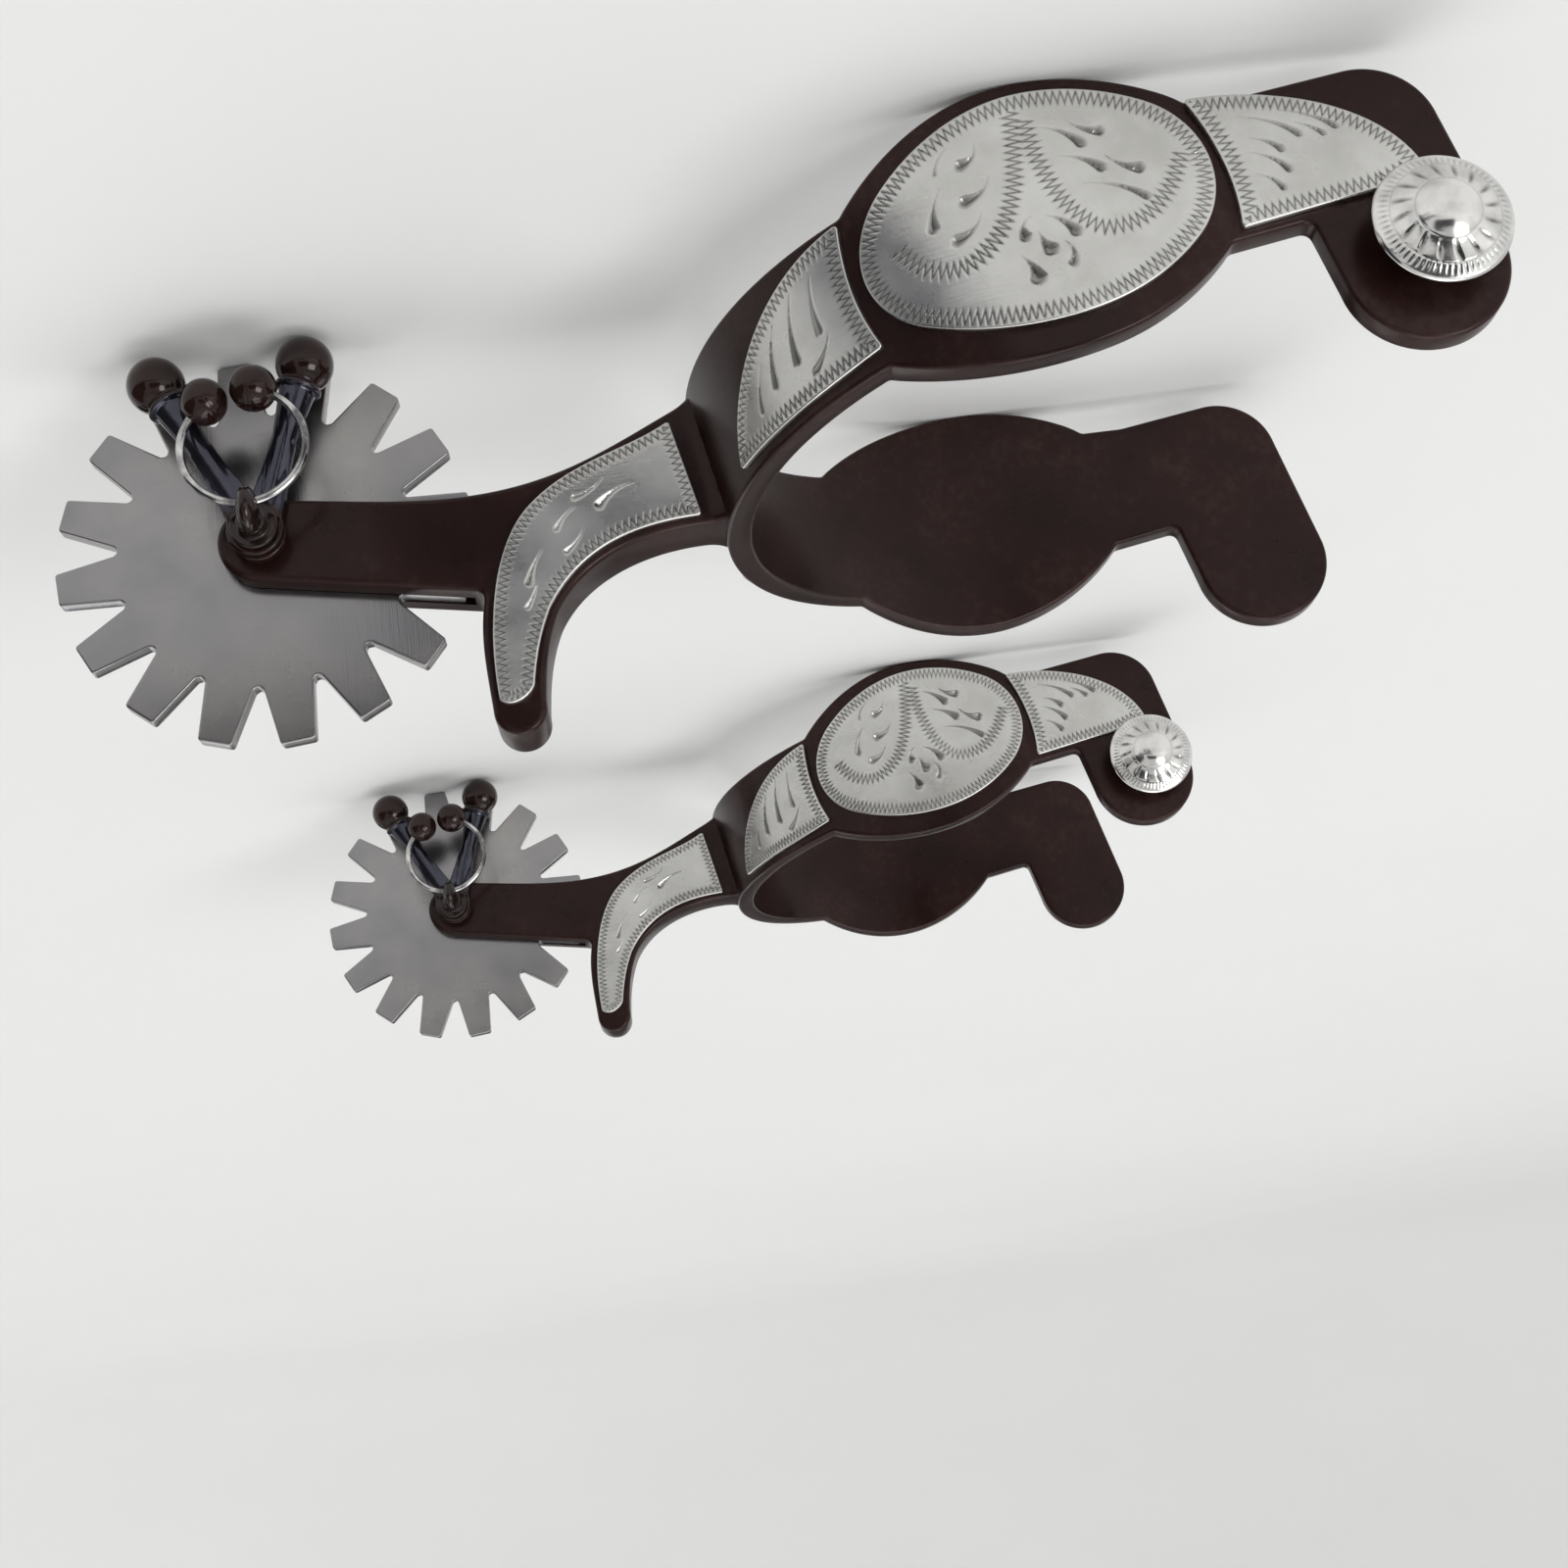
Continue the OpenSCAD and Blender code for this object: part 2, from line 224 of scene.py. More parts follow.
def rounded(r, thick, n=4):
    """Rings of a plate's edge as (inset, depth), round at both faces. The outermost keeps the face flat."""
    a = np.radians(np.linspace(0, 90, n + 1))
    top = [(r + 0.12, 0.0)] + [(r * (1 - math.sin(t)), r * (1 - math.cos(t))) for t in a]
    return top + [(i, thick - d) for i, d in top[::-1]]


def plate(loops, edge, place, step, back_step=None, relief=None):
    """A plate with rounded edges. place() takes plane points and their depth under the front face to space.
    relief() gives the engraved depth and a shade for points of the front face."""
    rings = [[inset(loop, i) for loop in loops] for i, _ in edge]
    front, front_tris = fill(rings[0], step)
    back, back_tris = fill(rings[-1], back_step or step)
    depth, shade = np.zeros(len(front)), np.zeros(len(front))
    if relief:
        depth, shade = relief(front)
    count = sum(len(loop) for loop in loops)
    planes = [front] + [np.vstack(r) for r in rings[1:-1]] + [back]
    depths = [depth + edge[0][1]] + [np.full(count, d) for _, d in edge[1:-1]]
    depths.append(np.full(len(back), edge[-1][1]))
    first = np.cumsum([0] + [len(p) for p in planes])
    quads, offset = [], 0
    for loop in loops:
        i = offset + np.arange(len(loop))
        j = offset + (np.arange(len(loop)) + 1) % len(loop)
        for k in range(len(edge) - 1):
            quads.append(np.c_[first[k] + i, first[k + 1] + i, first[k + 1] + j, first[k] + j])
        offset += len(loop)
    v = place(np.vstack(planes), np.concatenate(depths))
    shades = np.zeros(len(v))
    shades[:len(front)] = shade
    return v, [front_tris, np.vstack(quads), back_tris[:, ::-1] + first[-2]], {"shade": shades}


def solid(distance, low, high, step):
    """The surface where distance(x, y, z) is zero, by surface nets."""
    axes = [np.arange(a - step, b + 2 * step, step) for a, b in zip(low, high)]
    grid = np.stack(np.meshgrid(*axes, indexing="ij"))
    f = distance(*grid)
    total = np.zeros((3,) + tuple(n - 1 for n in f.shape))
    count = np.zeros(total.shape[1:])
    crossings = []
    for ax in range(3):
        lo = tuple(slice(None, -1) if i == ax else slice(None) for i in range(3))
        hi = tuple(slice(1, None) if i == ax else slice(None) for i in range(3))
        f0, f1 = f[lo], f[hi]
        cross = (f0 < 0) != (f1 < 0)
        t = np.where(cross, f0 / np.where(cross, f0 - f1, 1), 0)
        at = grid[(slice(None),) + lo].copy()
        at[ax] += t * step
        crossings.append((cross, f0 < 0))
        others = [i for i in range(3) if i != ax]
        for p in (0, 1):
            for q in (0, 1):
                pick = [slice(None)] * 3
                pick[others[0]] = slice(p, f.shape[others[0]] - 1 + p)
                pick[others[1]] = slice(q, f.shape[others[1]] - 1 + q)
                m = cross[tuple(pick)]
                total += at[(slice(None),) + tuple(pick)] * m
                count += m
    used = count > 0
    index = np.full(count.shape, -1)
    index[used] = np.arange(used.sum())
    v = (total[:, used] / count[used]).T
    quads = []
    for ax, (cross, starts_in) in enumerate(crossings):
        b, c = [(1, 2), (2, 0), (0, 1)][ax]
        where = np.argwhere(cross)
        ok = (where[:, b] > 0) & (where[:, c] > 0)
        where = where[ok]
        step_b, step_c = np.eye(3, dtype=int)[b], np.eye(3, dtype=int)[c]
        ring = [where - step_b - step_c, where - step_c, where, where - step_b]
        ring = np.stack([index[tuple(r.T)] for r in ring], 1)
        flip = ~starts_in[tuple(where.T)]
        ring[flip] = ring[flip][:, ::-1]
        quads.append(ring)
    return v, [np.vstack(quads)], {}


def tube_faces(rings, n):
    """Quads between rings of n points, and fans that close both ends on the two points that follow."""
    i, j = np.arange(n), (np.arange(n) + 1) % n
    last, tip = (rings - 1) * n, rings * n
    quads = np.vstack([np.c_[k + i, k + j, k + n + j, k + n + i] for k in range(0, last, n)])
    fans = np.vstack([np.c_[np.full(n, tip), j, i], np.c_[last + i, last + j, np.full(n, tip + 1)]])
    return quads, fans


def lathe(profile, n=96):
    """A solid turned about its height axis, from (radius, height) pairs that start and end on the axis."""
    p = np.array(profile, float)
    a = np.linspace(0, 2 * math.pi, n, endpoint=False)
    mid = p[1:-1]
    v = np.c_[np.outer(mid[:, 0], np.cos(a)).ravel(), np.outer(mid[:, 0], np.sin(a)).ravel(),
              np.repeat(mid[:, 1], n)]
    return np.vstack([v, [0, 0, p[0, 1]], [0, 0, p[-1, 1]]]), [*tube_faces(len(mid), n)], {}


def round_corners(profile, r, n=5):
    """A turned profile with its inner points rounded."""
    p = [np.array(q, float) for q in profile]
    out = [p[0]]
    for a, b, c in zip(p, p[1:], p[2:]):
        da, dc = np.linalg.norm(a - b), np.linalg.norm(c - b)
        d = min(r, 0.45 * da, 0.45 * dc)
        s, e = b + (a - b) / da * d, b + (c - b) / dc * d
        out += [(1 - t) ** 2 * s + 2 * t * (1 - t) * b + t * t * e for t in np.linspace(0, 1, n)]
    return out + [p[-1]]


# ---- objects --------------------------------------------------------------------------------

def standing(v):
    """From the spur's own frame in millimetres to the row frame in metres, with the spur's middle at Y 0."""
    c, s = math.cos(TILT), math.sin(TILT)
    return np.c_[(v[:, 0] * c + v[:, 2] * s) * MM + PIVOT_X, v[:, 1] * MM,
                 (-v[:, 0] * s + v[:, 2] * c) * MM + PIVOT_Z]


def volume(v, faces):
    """The signed volume inside a closed mesh; it is negative where the faces look inwards."""
    total = 0.0
    for f in faces:
        for k in range(1, f.shape[1] - 1):
            a, b, c = v[f[:, 0]], v[f[:, k]], v[f[:, k + 1]]
            total += np.einsum("ij,ij->", a, np.cross(b, c))
    return total / 6


def to_mesh(name, shape, sharp=None):
    """A smooth-shaded mesh from (points, faces, point attributes), its faces looking outwards."""
    v, faces, marks = shape
    if volume(v - v.mean(0), faces) < 0:
        faces = [f[:, ::-1] for f in faces]
    me = bpy.data.meshes.new(name)
    me.from_pydata(v.tolist(), [], [row for f in faces for row in f.tolist()])
    me.polygons.foreach_set("use_smooth", np.ones(len(me.polygons), bool))
    for key, values in marks.items():
        a = me.attributes.new(key, "FLOAT", "POINT")
        a.data.foreach_set("value", np.asarray(values, np.float32))
    if sharp:
        me.set_sharp_from_angle(angle=math.radians(sharp))
    me.update()
    return me


def linked(name, data):
    """A new object in the scene."""
    ob = bpy.data.objects.new(name, data)
    bpy.context.scene.collection.objects.link(ob)
    return ob


def add(piece, shape, material, body="root", sharp=None):
    """The same piece on both spurs, standing for its CAD node. shape is in the spur's own frame."""
    mesh = shape
    if not isinstance(shape, bpy.types.Mesh):
        mesh = to_mesh(piece, (standing(shape[0]), shape[1], shape[2]), sharp)
    mesh.materials.clear()
    mesh.materials.append(material)
    for side, y in SPUR_Y.items():
        ob = linked(f"{side}_{piece}_piece", mesh)
        ob.location = (0, y, 0)
        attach(ob, "root" if body == "root" else f"{side}_{body}")
        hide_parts(f"{side}_{piece}")


def mirrored(shape):
    """The same shape on the spur's other side."""
    v, faces, marks = shape
    return v * np.array([1, -1, 1]), faces, marks


# ---- materials ------------------------------------------------------------------------------

class Graph:
    """A material's node tree, with short calls for the nodes that the materials share."""

    def __init__(self, name):
        self.material = bpy.data.materials.new(name)
        self.material.use_nodes = True
        self.tree = self.material.node_tree
        self.tree.nodes.clear()
        self.out = self.tree.nodes.new("ShaderNodeOutputMaterial")
        self.coords = self.tree.nodes.new("ShaderNodeTexCoord").outputs["Object"]

    def add(self, kind, settings=None, **inputs):
        """A node. A keyword names an input, with _ for a space, or i0, i1 by number."""
        node = self.tree.nodes.new("ShaderNode" + kind)
        for key, value in (settings or {}).items():
            setattr(node, key, value)
        for key, value in inputs.items():
            key = key.replace("_", " ")
            socket = node.inputs[int(key[1:])] if key[0] == "i" and key[1:].isdigit() else node.inputs[key]
            if isinstance(value, bpy.types.NodeSocket):
                self.tree.links.new(value, socket)
            else:
                socket.default_value = value
        return node

    def stretched(self, scale, turn=(0, 0, 0)):
        """Object coordinates, scaled per axis and turned."""
        return self.add("Mapping", Vector=self.coords, Scale=scale, Rotation=turn).outputs["Vector"]

    def noise(self, vector, scale, detail=4.0, rough=0.55):
        return self.add("TexNoise", Vector=vector, Scale=scale, Detail=detail, Roughness=rough).outputs["Fac"]

    def ramp(self, value, low, high, to_low=0.0, to_high=1.0):
        """value mapped from low..high to to_low..to_high, and held there beyond them."""
        node = self.add("MapRange", {"clamp": True}, Value=value)
        for key, v in zip(("From Min", "From Max", "To Min", "To Max"), (low, high, to_low, to_high)):
            node.inputs[key].default_value = v
        return node.outputs["Result"]

    def mix(self, fac, a, b, blend="MIX"):
        node = self.add("Mix", {"data_type": "RGBA", "blend_type": blend})
        for socket, value in ((node.inputs[0], fac), (node.inputs[6], a), (node.inputs[7], b)):
            if isinstance(value, bpy.types.NodeSocket):
                self.tree.links.new(value, socket)
            else:
                socket.default_value = value
        return node.outputs[2]

    def math(self, operation, a, b=0.0):
        return self.add("Math", {"operation": operation}, i0=a, i1=b).outputs[0]

    def attribute(self, name):
        return self.add("Attribute", {"attribute_name": name}).outputs["Fac"]

    def bump(self, height, strength, distance, below=None):
        inputs = {"Height": height, "Strength": strength, "Distance": distance}
        if below is not None:
            inputs["Normal"] = below
        return self.add("Bump", **inputs).outputs["Normal"]

    def surface(self, **inputs):
        shader = self.add("BsdfPrincipled", **inputs)
        self.tree.links.new(shader.outputs[0], self.out.inputs["Surface"])
        return self.material


def rgb(r, g, b):
    """An opaque colour for a socket."""
    return (r, g, b, 1.0)


def brown_steel(name, dark, light, rough, coat):
    """A baked brown finish: cloudy, a little worn and softly glossy."""
    g = Graph(name)
    cloud = g.noise(g.coords, 70, 5)
    speck = g.noise(g.coords, 900, 3)
    worn = g.ramp(g.math("MULTIPLY", cloud, speck), 0.25, 0.42)
    color = g.mix(g.ramp(cloud, 0.25, 0.75), dark, light)
    color = g.mix(g.math("MULTIPLY", worn, 0.3), color, rgb(0.05, 0.036, 0.032))
    drawn = g.noise(g.stretched((60, 60, 1400), (0, TILT, 0)), 1.0, 3)
    normal = g.bump(drawn, 0.05, 0.0002)
    normal = g.bump(g.noise(g.coords, 2600, 2), 0.06, 0.0001, normal)
    rough = g.ramp(cloud, 0.3, 0.7, rough - 0.07, rough + 0.08)
    return g.surface(Base_Color=color, Metallic=0.35, Roughness=rough, Specular_IOR_Level=0.2,
                     Coat_Weight=coat, Coat_Roughness=0.12, Normal=normal)


def engraved_silver():
    """Brushed silver whose cuts are darkened by painted shade and are a little tarnished."""
    g = Graph("engraved_silver")
    cut = g.attribute("shade")
    cloud = g.noise(g.coords, 130, 4)
    brushed = g.noise(g.stretched((260, 260, 5200), (0, math.radians(-24), 0)), 1.0, 3)
    color = g.mix(g.ramp(cloud, 0.3, 0.72), rgb(0.56, 0.555, 0.53), rgb(0.74, 0.735, 0.71))
    # The cuts are darkened with painted shade; the silver there is also a little tarnished.
    color = g.mix(g.math("MULTIPLY", cut, 0.95), color, rgb(0.055, 0.05, 0.045))
    rough = g.math("ADD", g.ramp(cloud, 0.3, 0.7, 0.24, 0.36), g.math("MULTIPLY", cut, 0.08))
    normal = g.bump(brushed, 0.09, 0.0002)
    normal = g.bump(g.noise(g.coords, 420, 3), 0.10, 0.0004, normal)
    return g.surface(Base_Color=color, Metallic=1.0, Roughness=rough, Anisotropic=0.3, Normal=normal)


def bright_metal(name, dark, light, rough, cut_shade_and_tarnish):
    """Polished metal between a dark and a light tone; its cuts are darkened by painted shade and are a little
    tarnished.
    """
    g = Graph(name)
    cut = g.attribute("shade")
    cloud = g.noise(g.coords, 300, 4)
    color = g.mix(g.ramp(cloud, 0.38, 0.62), dark, light)
    # The cuts are darkened with painted shade and are also a little tarnished.
    color = g.mix(g.math("MULTIPLY", cut, cut_shade_and_tarnish), color, rgb(0.07, 0.065, 0.06))
    normal = g.bump(g.noise(g.coords, 700, 3), 0.06, 0.0003)
    rough = g.ramp(cloud, 0.3, 0.7, rough - 0.03, rough + 0.06)
    return g.surface(Base_Color=color, Metallic=1.0, Roughness=rough, Normal=normal)


def satin_rowel():
    """Ground steel: fine upright grain, faint handling marks."""
    g = Graph("rowel_steel")
    cloud = g.noise(g.coords, 55, 5)
    grain = g.noise(g.stretched((4200, 4200, 120)), 1.0, 3)
    marks = g.ramp(g.noise(g.stretched((160, 160, 900), (0, 0.9, 0)), 1.0, 4), 0.62, 0.8)
    color = g.mix(g.ramp(cloud, 0.32, 0.7), rgb(0.25, 0.247, 0.26), rgb(0.40, 0.385, 0.375))
    color = g.mix(g.math("MULTIPLY", marks, 0.25), color, rgb(0.15, 0.15, 0.17))
    normal = g.bump(grain, 0.10, 0.00015)
    return g.surface(Base_Color=color, Metallic=1.0, Roughness=g.ramp(cloud, 0.3, 0.7, 0.19, 0.31),
                     Anisotropic=0.35, Normal=normal)


def jingle_steel():
    """Bobs: a polished dark stem that turns to brown at the ball."""
    g = Graph("jingle_brown")
    ball = g.attribute("shade")
    cloud = g.noise(g.coords, 220, 4)
    stem = g.mix(cloud, rgb(0.028, 0.028, 0.042), rgb(0.095, 0.095, 0.125))
    brown = g.mix(g.ramp(cloud, 0.3, 0.7), rgb(0.010, 0.0045, 0.0038), rgb(0.028, 0.011, 0.0085))
    color = g.mix(ball, stem, brown)
    rough = g.ramp(cloud, 0.3, 0.7, 0.10, 0.20)
    normal = g.bump(g.noise(g.coords, 1100, 3), 0.06, 0.0002)
    return g.surface(Base_Color=color, Metallic=g.ramp(ball, 0.0, 1.0, 0.9, 0.25), Roughness=rough,
                     Specular_IOR_Level=0.25, Coat_Weight=0.3, Coat_Roughness=0.05, Normal=normal)


BROWN = brown_steel("brown_steel", rgb(0.0125, 0.0050, 0.0044), rgb(0.030, 0.0108, 0.0088), 0.32, 0.12)
PIN_BROWN = brown_steel("pin_brown", rgb(0.010, 0.005, 0.0045), rgb(0.026, 0.012, 0.010), 0.20, 0.5)
SILVER = engraved_silver()
BUTTON = bright_metal("button_silver", rgb(0.62, 0.615, 0.60), rgb(0.84, 0.83, 0.81), 0.13, 0.9)
# The wire's streaks between dark and light are painted reflections.
WIRE = bright_metal("bright_wire", rgb(0.16, 0.155, 0.16), rgb(0.80, 0.79, 0.78), 0.11, 0.0)
ROWEL = satin_rowel()
JINGLE = jingle_steel()


# ---- the band -------------------------------------------------------------------------------

QUARTER = BAND_R * math.pi / 2
STRAIGHT = BEND_X - QUARTER


def run_of(x):
    """How far forward along the band's outside a point at x is; the arms count x itself."""
    x = np.asarray(x, float)
    back = BEND_X - BAND_R * np.arcsin(np.clip((BEND_X - x) / BAND_R, -1, 1))
    return np.where(x < BEND_X, back, x)


def unrolled(loop):
    """Side-view points (X, Z) as (run along the band, Z)."""
    loop = np.asarray(loop, float)
    return np.c_[run_of(loop[:, 0]), loop[:, 1]]


def on_band(run, height=0.0):
    """X and Y of a point on the left arm, height above the band's outside."""
    phi = np.clip((BEND_X - run) / BAND_R, 0, math.pi / 2)
    r = BAND_R + height
    bent = run < BEND_X
    return np.where(bent, BEND_X - r * np.sin(phi), run), np.where(bent, r * np.cos(phi), r)


def band_place(p, depth):
    """The whole band from (signed run, Z): negative on the left arm, zero at the back, positive on the right.
    Its edges are radial at the back and turn square to the arms further on."""
    run = np.abs(p[:, 0]) + STRAIGHT
    x0, y0 = on_band(run)
    inner = BAND_R - BAND_T
    phi = np.clip((BEND_X - run) / BAND_R, 0, math.pi / 2)
    square_on = np.arcsin(np.clip(BAND_R * np.sin(phi) / inner, 0, 1))
    cut_square = np.clip((x0 - 59) / 8, 0, 1)
    cut_square = cut_square ** 2 * (3 - 2 * cut_square)
    psi = phi + (square_on - phi) * cut_square
    x1 = np.where(run < BEND_X, BEND_X - inner * np.sin(psi), run)
    y1 = np.where(run < BEND_X, inner * np.cos(psi), inner)
    k = depth / BAND_T
    hand = np.where(p[:, 0] < 0, 1, -1)
    return np.c_[x0 + (x1 - x0) * k, hand * (y0 + (y1 - y0) * k), p[:, 1]]


def arm_outline():
    """One arm from the back's top edge, round the toe, to the back's lower edge, as (run - STRAIGHT, Z)."""
    top, low = BAND_Z + BAND_H / 2, BAND_Z - BAND_H / 2
    runs = [
        [(54.2, top), (60, top), (66, top), (73.1, top)],
        arc(82, BAND_Z, 13, 133, 126.9, 6), arc(92.2, BAND_Z - 13.6, 30, 126.9, 53.1, 40),
        arc(102.4, BAND_Z, 13, 53.1, 47, 6),
        [(111.3, top), (120.5, top)],
        arc(130.3, 23.6, 9.2, 180, 0, 48), arc(130.3, 6.9, 8.2, 0, -90, 24),
        [(118, -1.5)],
        arc(102.4, BAND_Z, 13, -39.9, -53.1, 8), arc(92.2, BAND_Z + 13.6, 30, -53.1, -126.9, 40),
        arc(82, BAND_Z, 13, -126.9, -133, 6),
        [(66, low), (60, low), (54.2, low)],
    ]
    return unrolled(joined(*runs)) - [STRAIGHT, 0]


def heel_band():
    """The strip, cut flat as both arms in one outline and then bent round the heel."""
    half = arm_outline()
    loop = counterclockwise(joined(half * [-1, 1], half[::-1]))
    return plate([refine(loop, 0.55, 1.1)], rounded(0.5, BAND_T), band_place, 1.3)


# ---- the shank ------------------------------------------------------------------------------

# From under the pin along the lower edge to the band, back over the chap guard, and round the pin.
SHANK_RUNS = [
    arc(0, 0, SHANK_END_R, -75, -70, 2),
    curve([(1.8, -4.93), (12, -2.05), (20, 1.6), (30, 2)]),
    curve([(30, 2), (40, 2.4), (47, -1), (56.2, -3.2)]),
    curve([(56.2, 14.75), (50, 12.4), (38, 11.8), (31.8, 19.4)]),
    curve([(31.8, 19.4), (29.3, 23), (28.3, 26.5), (27.4, 30)]),
    arc(24.2, 30, 3.2, 0, 180, 24),
    curve([(21, 30), (21.6, 25), (21.8, 19), (24.2, 14.4)]),
    arc(0, 0, SHANK_END_R, 110, 285, 40),
]
FLARE = curve([(52, SHANK_HALF), (54, SHANK_HALF), (55.2, 5.5), (57, 9)])


def shank_place(p, depth):
    """Side-view points across the shank, which widens where it meets the band."""
    half = np.interp(p[:, 0], FLARE[:, 0], FLARE[:, 1], left=SHANK_HALF)
    return np.c_[p[:, 0], (SHANK_HALF - depth) * half / SHANK_HALF, p[:, 1]]


def cut_away(shape, *tools):
    """A shape less others, by exact booleans."""
    base = linked("cut_base", to_mesh("cut_base", shape))
    spare = [base]
    for tool in tools:
        ob = linked("cut_tool", to_mesh("cut_tool", tool))
        m = base.modifiers.new("cut", "BOOLEAN")
        m.operation, m.solver, m.object = "DIFFERENCE", "EXACT", ob
        spare.append(ob)
    made = bpy.data.meshes.new_from_object(base.evaluated_get(bpy.context.evaluated_depsgraph_get()))
    for ob in spare:
        bpy.data.objects.remove(ob)
    v = np.empty(len(made.vertices) * 3)
    made.vertices.foreach_get("co", v)
    made.vertices.foreach_set("co", standing(v.reshape(-1, 3)).ravel())
    made.polygons.foreach_set("use_smooth", np.ones(len(made.polygons), bool))
    made.set_sharp_from_angle(angle=math.radians(38))
    made.update()
    return made


def across(shape, y0):
    """A turned shape laid with its axis along Y, starting at y0."""
    v, faces, marks = shape
    return np.c_[v[:, 0], v[:, 2] + y0, v[:, 1]], faces, marks


def shank():
    """The forged shank with its chap guard, slotted for the rowel and drilled for the pin."""
    loop = refine(joined(*SHANK_RUNS), 0.5, 1.1)
    body = plate([loop], rounded(0.7, 2 * SHANK_HALF, 5), shank_place, 1.4)
    drill = 12
    slot = across(lathe([(0, 0), (SLOT_R, 0), (SLOT_R, SLOT_W), (0, SLOT_W)], 180), -SLOT_W / 2)
    hole = across(lathe([(0, 0), (PIN_R, 0), (PIN_R, drill), (0, drill)], 64), -drill / 2)
    return cut_away(body, slot, hole)


# ---- silver ---------------------------------------------------------------------------------

ZIGZAG_PITCH, ZIGZAG_DEPTH = 0.86, 0.10


def wave(s, pitch):
    """A triangle wave between -1 and 1."""
    return 4 * np.abs((s / pitch) % 1 - 0.5) - 1


def zigzag(q, s, amp, pitch=ZIGZAG_PITCH, half=0.15, deep=ZIGZAG_DEPTH):
    """A wriggle cut: q is the distance from its middle line, s the distance along it."""
    lean = math.hypot(1, 4 * amp / pitch)
    return deep * np.clip(1 - np.abs(q - amp * wave(s, pitch)) / lean / half, 0, 1)


def sliver(p, a, b, bend, wide):
    """A curved cut that starts fine at a and ends in a wedge at b."""
    a, b = np.array(a, float), np.array(b, float)
    middle = (a + b) / 2 + bend * np.array([-(b - a)[1], (b - a)[0]])
    t = np.linspace(0, 1, 18)[:, None]
    path = (1 - t) ** 2 * a + 2 * t * (1 - t) * middle + t * t * b
    out = np.zeros(len(p))
    close = ((p > path.min(0) - 1.5) & (p < path.max(0) + 1.5)).all(1)
    if close.any():
        d, s, side = near(p[close], path, False)
        share = s / np.hypot(*np.diff(path, axis=0).T).sum()
        half = 0.10 + wide * share ** 1.7
        out[close] = np.clip(half - d * np.where(side > 0, 1.0, 0.8), 0, None) * np.where(side > 0, 0.75, 0.5)
    return np.minimum(out, 0.42)


def hand_made(p, seed, size=0.018):
    """The slight waviness that hand work leaves."""
    rng = np.random.default_rng(seed)
    total = np.zeros(len(p))
    for _ in range(7):
        a, k = rng.uniform(0, math.pi), 2 * math.pi / rng.uniform(4, 10)
        total += np.sin(k * (p[:, 0] * math.cos(a) + p[:, 1] * math.sin(a)) + rng.uniform(0, 6.3))
    return total * size / 7


def engraving(loop, cuts, bands, border, seed):
    """The relief of an overlay: a wriggled border, wriggled bands and free cuts."""
    def relief(p):
        """The engraved depth and the shade at face points p."""
        d, s, _ = near(p, loop)
        perimeter = np.hypot(*(np.roll(loop, -1, 0) - loop).T).sum()
        pitch = perimeter / round(perimeter / ZIGZAG_PITCH)
        depth = zigzag(d - border[0], s, border[1], pitch)
        for path, amp in bands:
            db, sb, side = near(p, path, False)
            run = np.hypot(*np.diff(path, axis=0).T).sum()
            on = (sb > 0.01) & (sb < run - 0.01) & (d > border[0] + border[1] + 0.15)
            depth = np.maximum(depth, zigzag(db * side, sb, amp) * on)
        free = np.zeros(len(p))
        for cut in cuts:
            free = np.maximum(free, sliver(p, *cut))
        free *= np.clip((d - 0.5) / 0.5, 0, 1)
        # The shade darkens the colour in the cuts: painted shade, and a little tarnished silver.
        shade = np.maximum(np.clip(depth / ZIGZAG_DEPTH, 0, 1), 0.62 * np.clip(free / 0.22, 0, 1))
        fade = np.clip(d / 0.4, 0, 1)
        worn = 0.07 * (np.exp(-(d / 0.9) ** 2) - 1)
        return (np.maximum(depth, free) + hand_made(p, seed) + worn) * fade, shade
    return relief


def arm_place(p, depth):
    """Unrolled points laid on the left arm as an overlay."""
    x, y = on_band(p[:, 0], SILVER_T - depth)
    return np.c_[x, y, p[:, 1]]


def guard_place(p, depth):
    """Side-view points laid on the shank's left face as an overlay."""
    return np.c_[p[:, 0], SHANK_HALF + SILVER_T - depth, p[:, 1]]


def overlay(outline, cuts, bands, place, unroll, seed, border):
    """An engraved plate. border is the wriggled border's distance from the edge, and its reach each way."""
    shift = unrolled if unroll else (lambda q: np.asarray(q, float))
    loop = refine(counterclockwise(shift(outline)), 0.17, 0.45)
    cuts = [(shift([a])[0], shift([b])[0], bend, wide) for a, b, bend, wide in cuts]
    bands = [(shift(path), amp) for path, amp in bands]
    relief = engraving(loop, cuts, bands, border, seed)
    return plate([loop], rounded(0.2, SILVER_T, 3), place, ENGRAVED_STEP, 1.0, relief)


def oval(cx, cz, a, b):
    """An oval of four arcs that meet on 3-4-5 triangles; a and b are its half axes."""
    end, q = (3 * b - a) / 2, CORNER_345
    side = end + 2.5 * (a - b)
    return joined(arc(cx + a - end, cz, end, -q, q, 40), arc(cx, cz + b - side, side, q, 180 - q, 60),
                  arc(cx - a + end, cz, end, 180 - q, 180 + q, 40),
                  arc(cx, cz - b + side, side, 180 + q, 360 - q, 60))


def smooth_path(points, n=60):
    """A smooth open path through a few points."""
    p = np.array(points, float)
    p = np.vstack([2 * p[0] - p[1], p, 2 * p[-1] - p[-2]])
    out = []
    for a, b, c, d in zip(p, p[1:], p[2:], p[3:]):
        t = np.linspace(0, 1, n // (len(points) - 1), endpoint=False)[:, None]
        square, cubic = 2 * a - 5 * b + 4 * c - d, 3 * b - a - 3 * c + d
        out.append(0.5 * (2 * b + (c - a) * t + square * t ** 2 + cubic * t ** 3))
    return np.vstack(out + [p[-2:-1]])


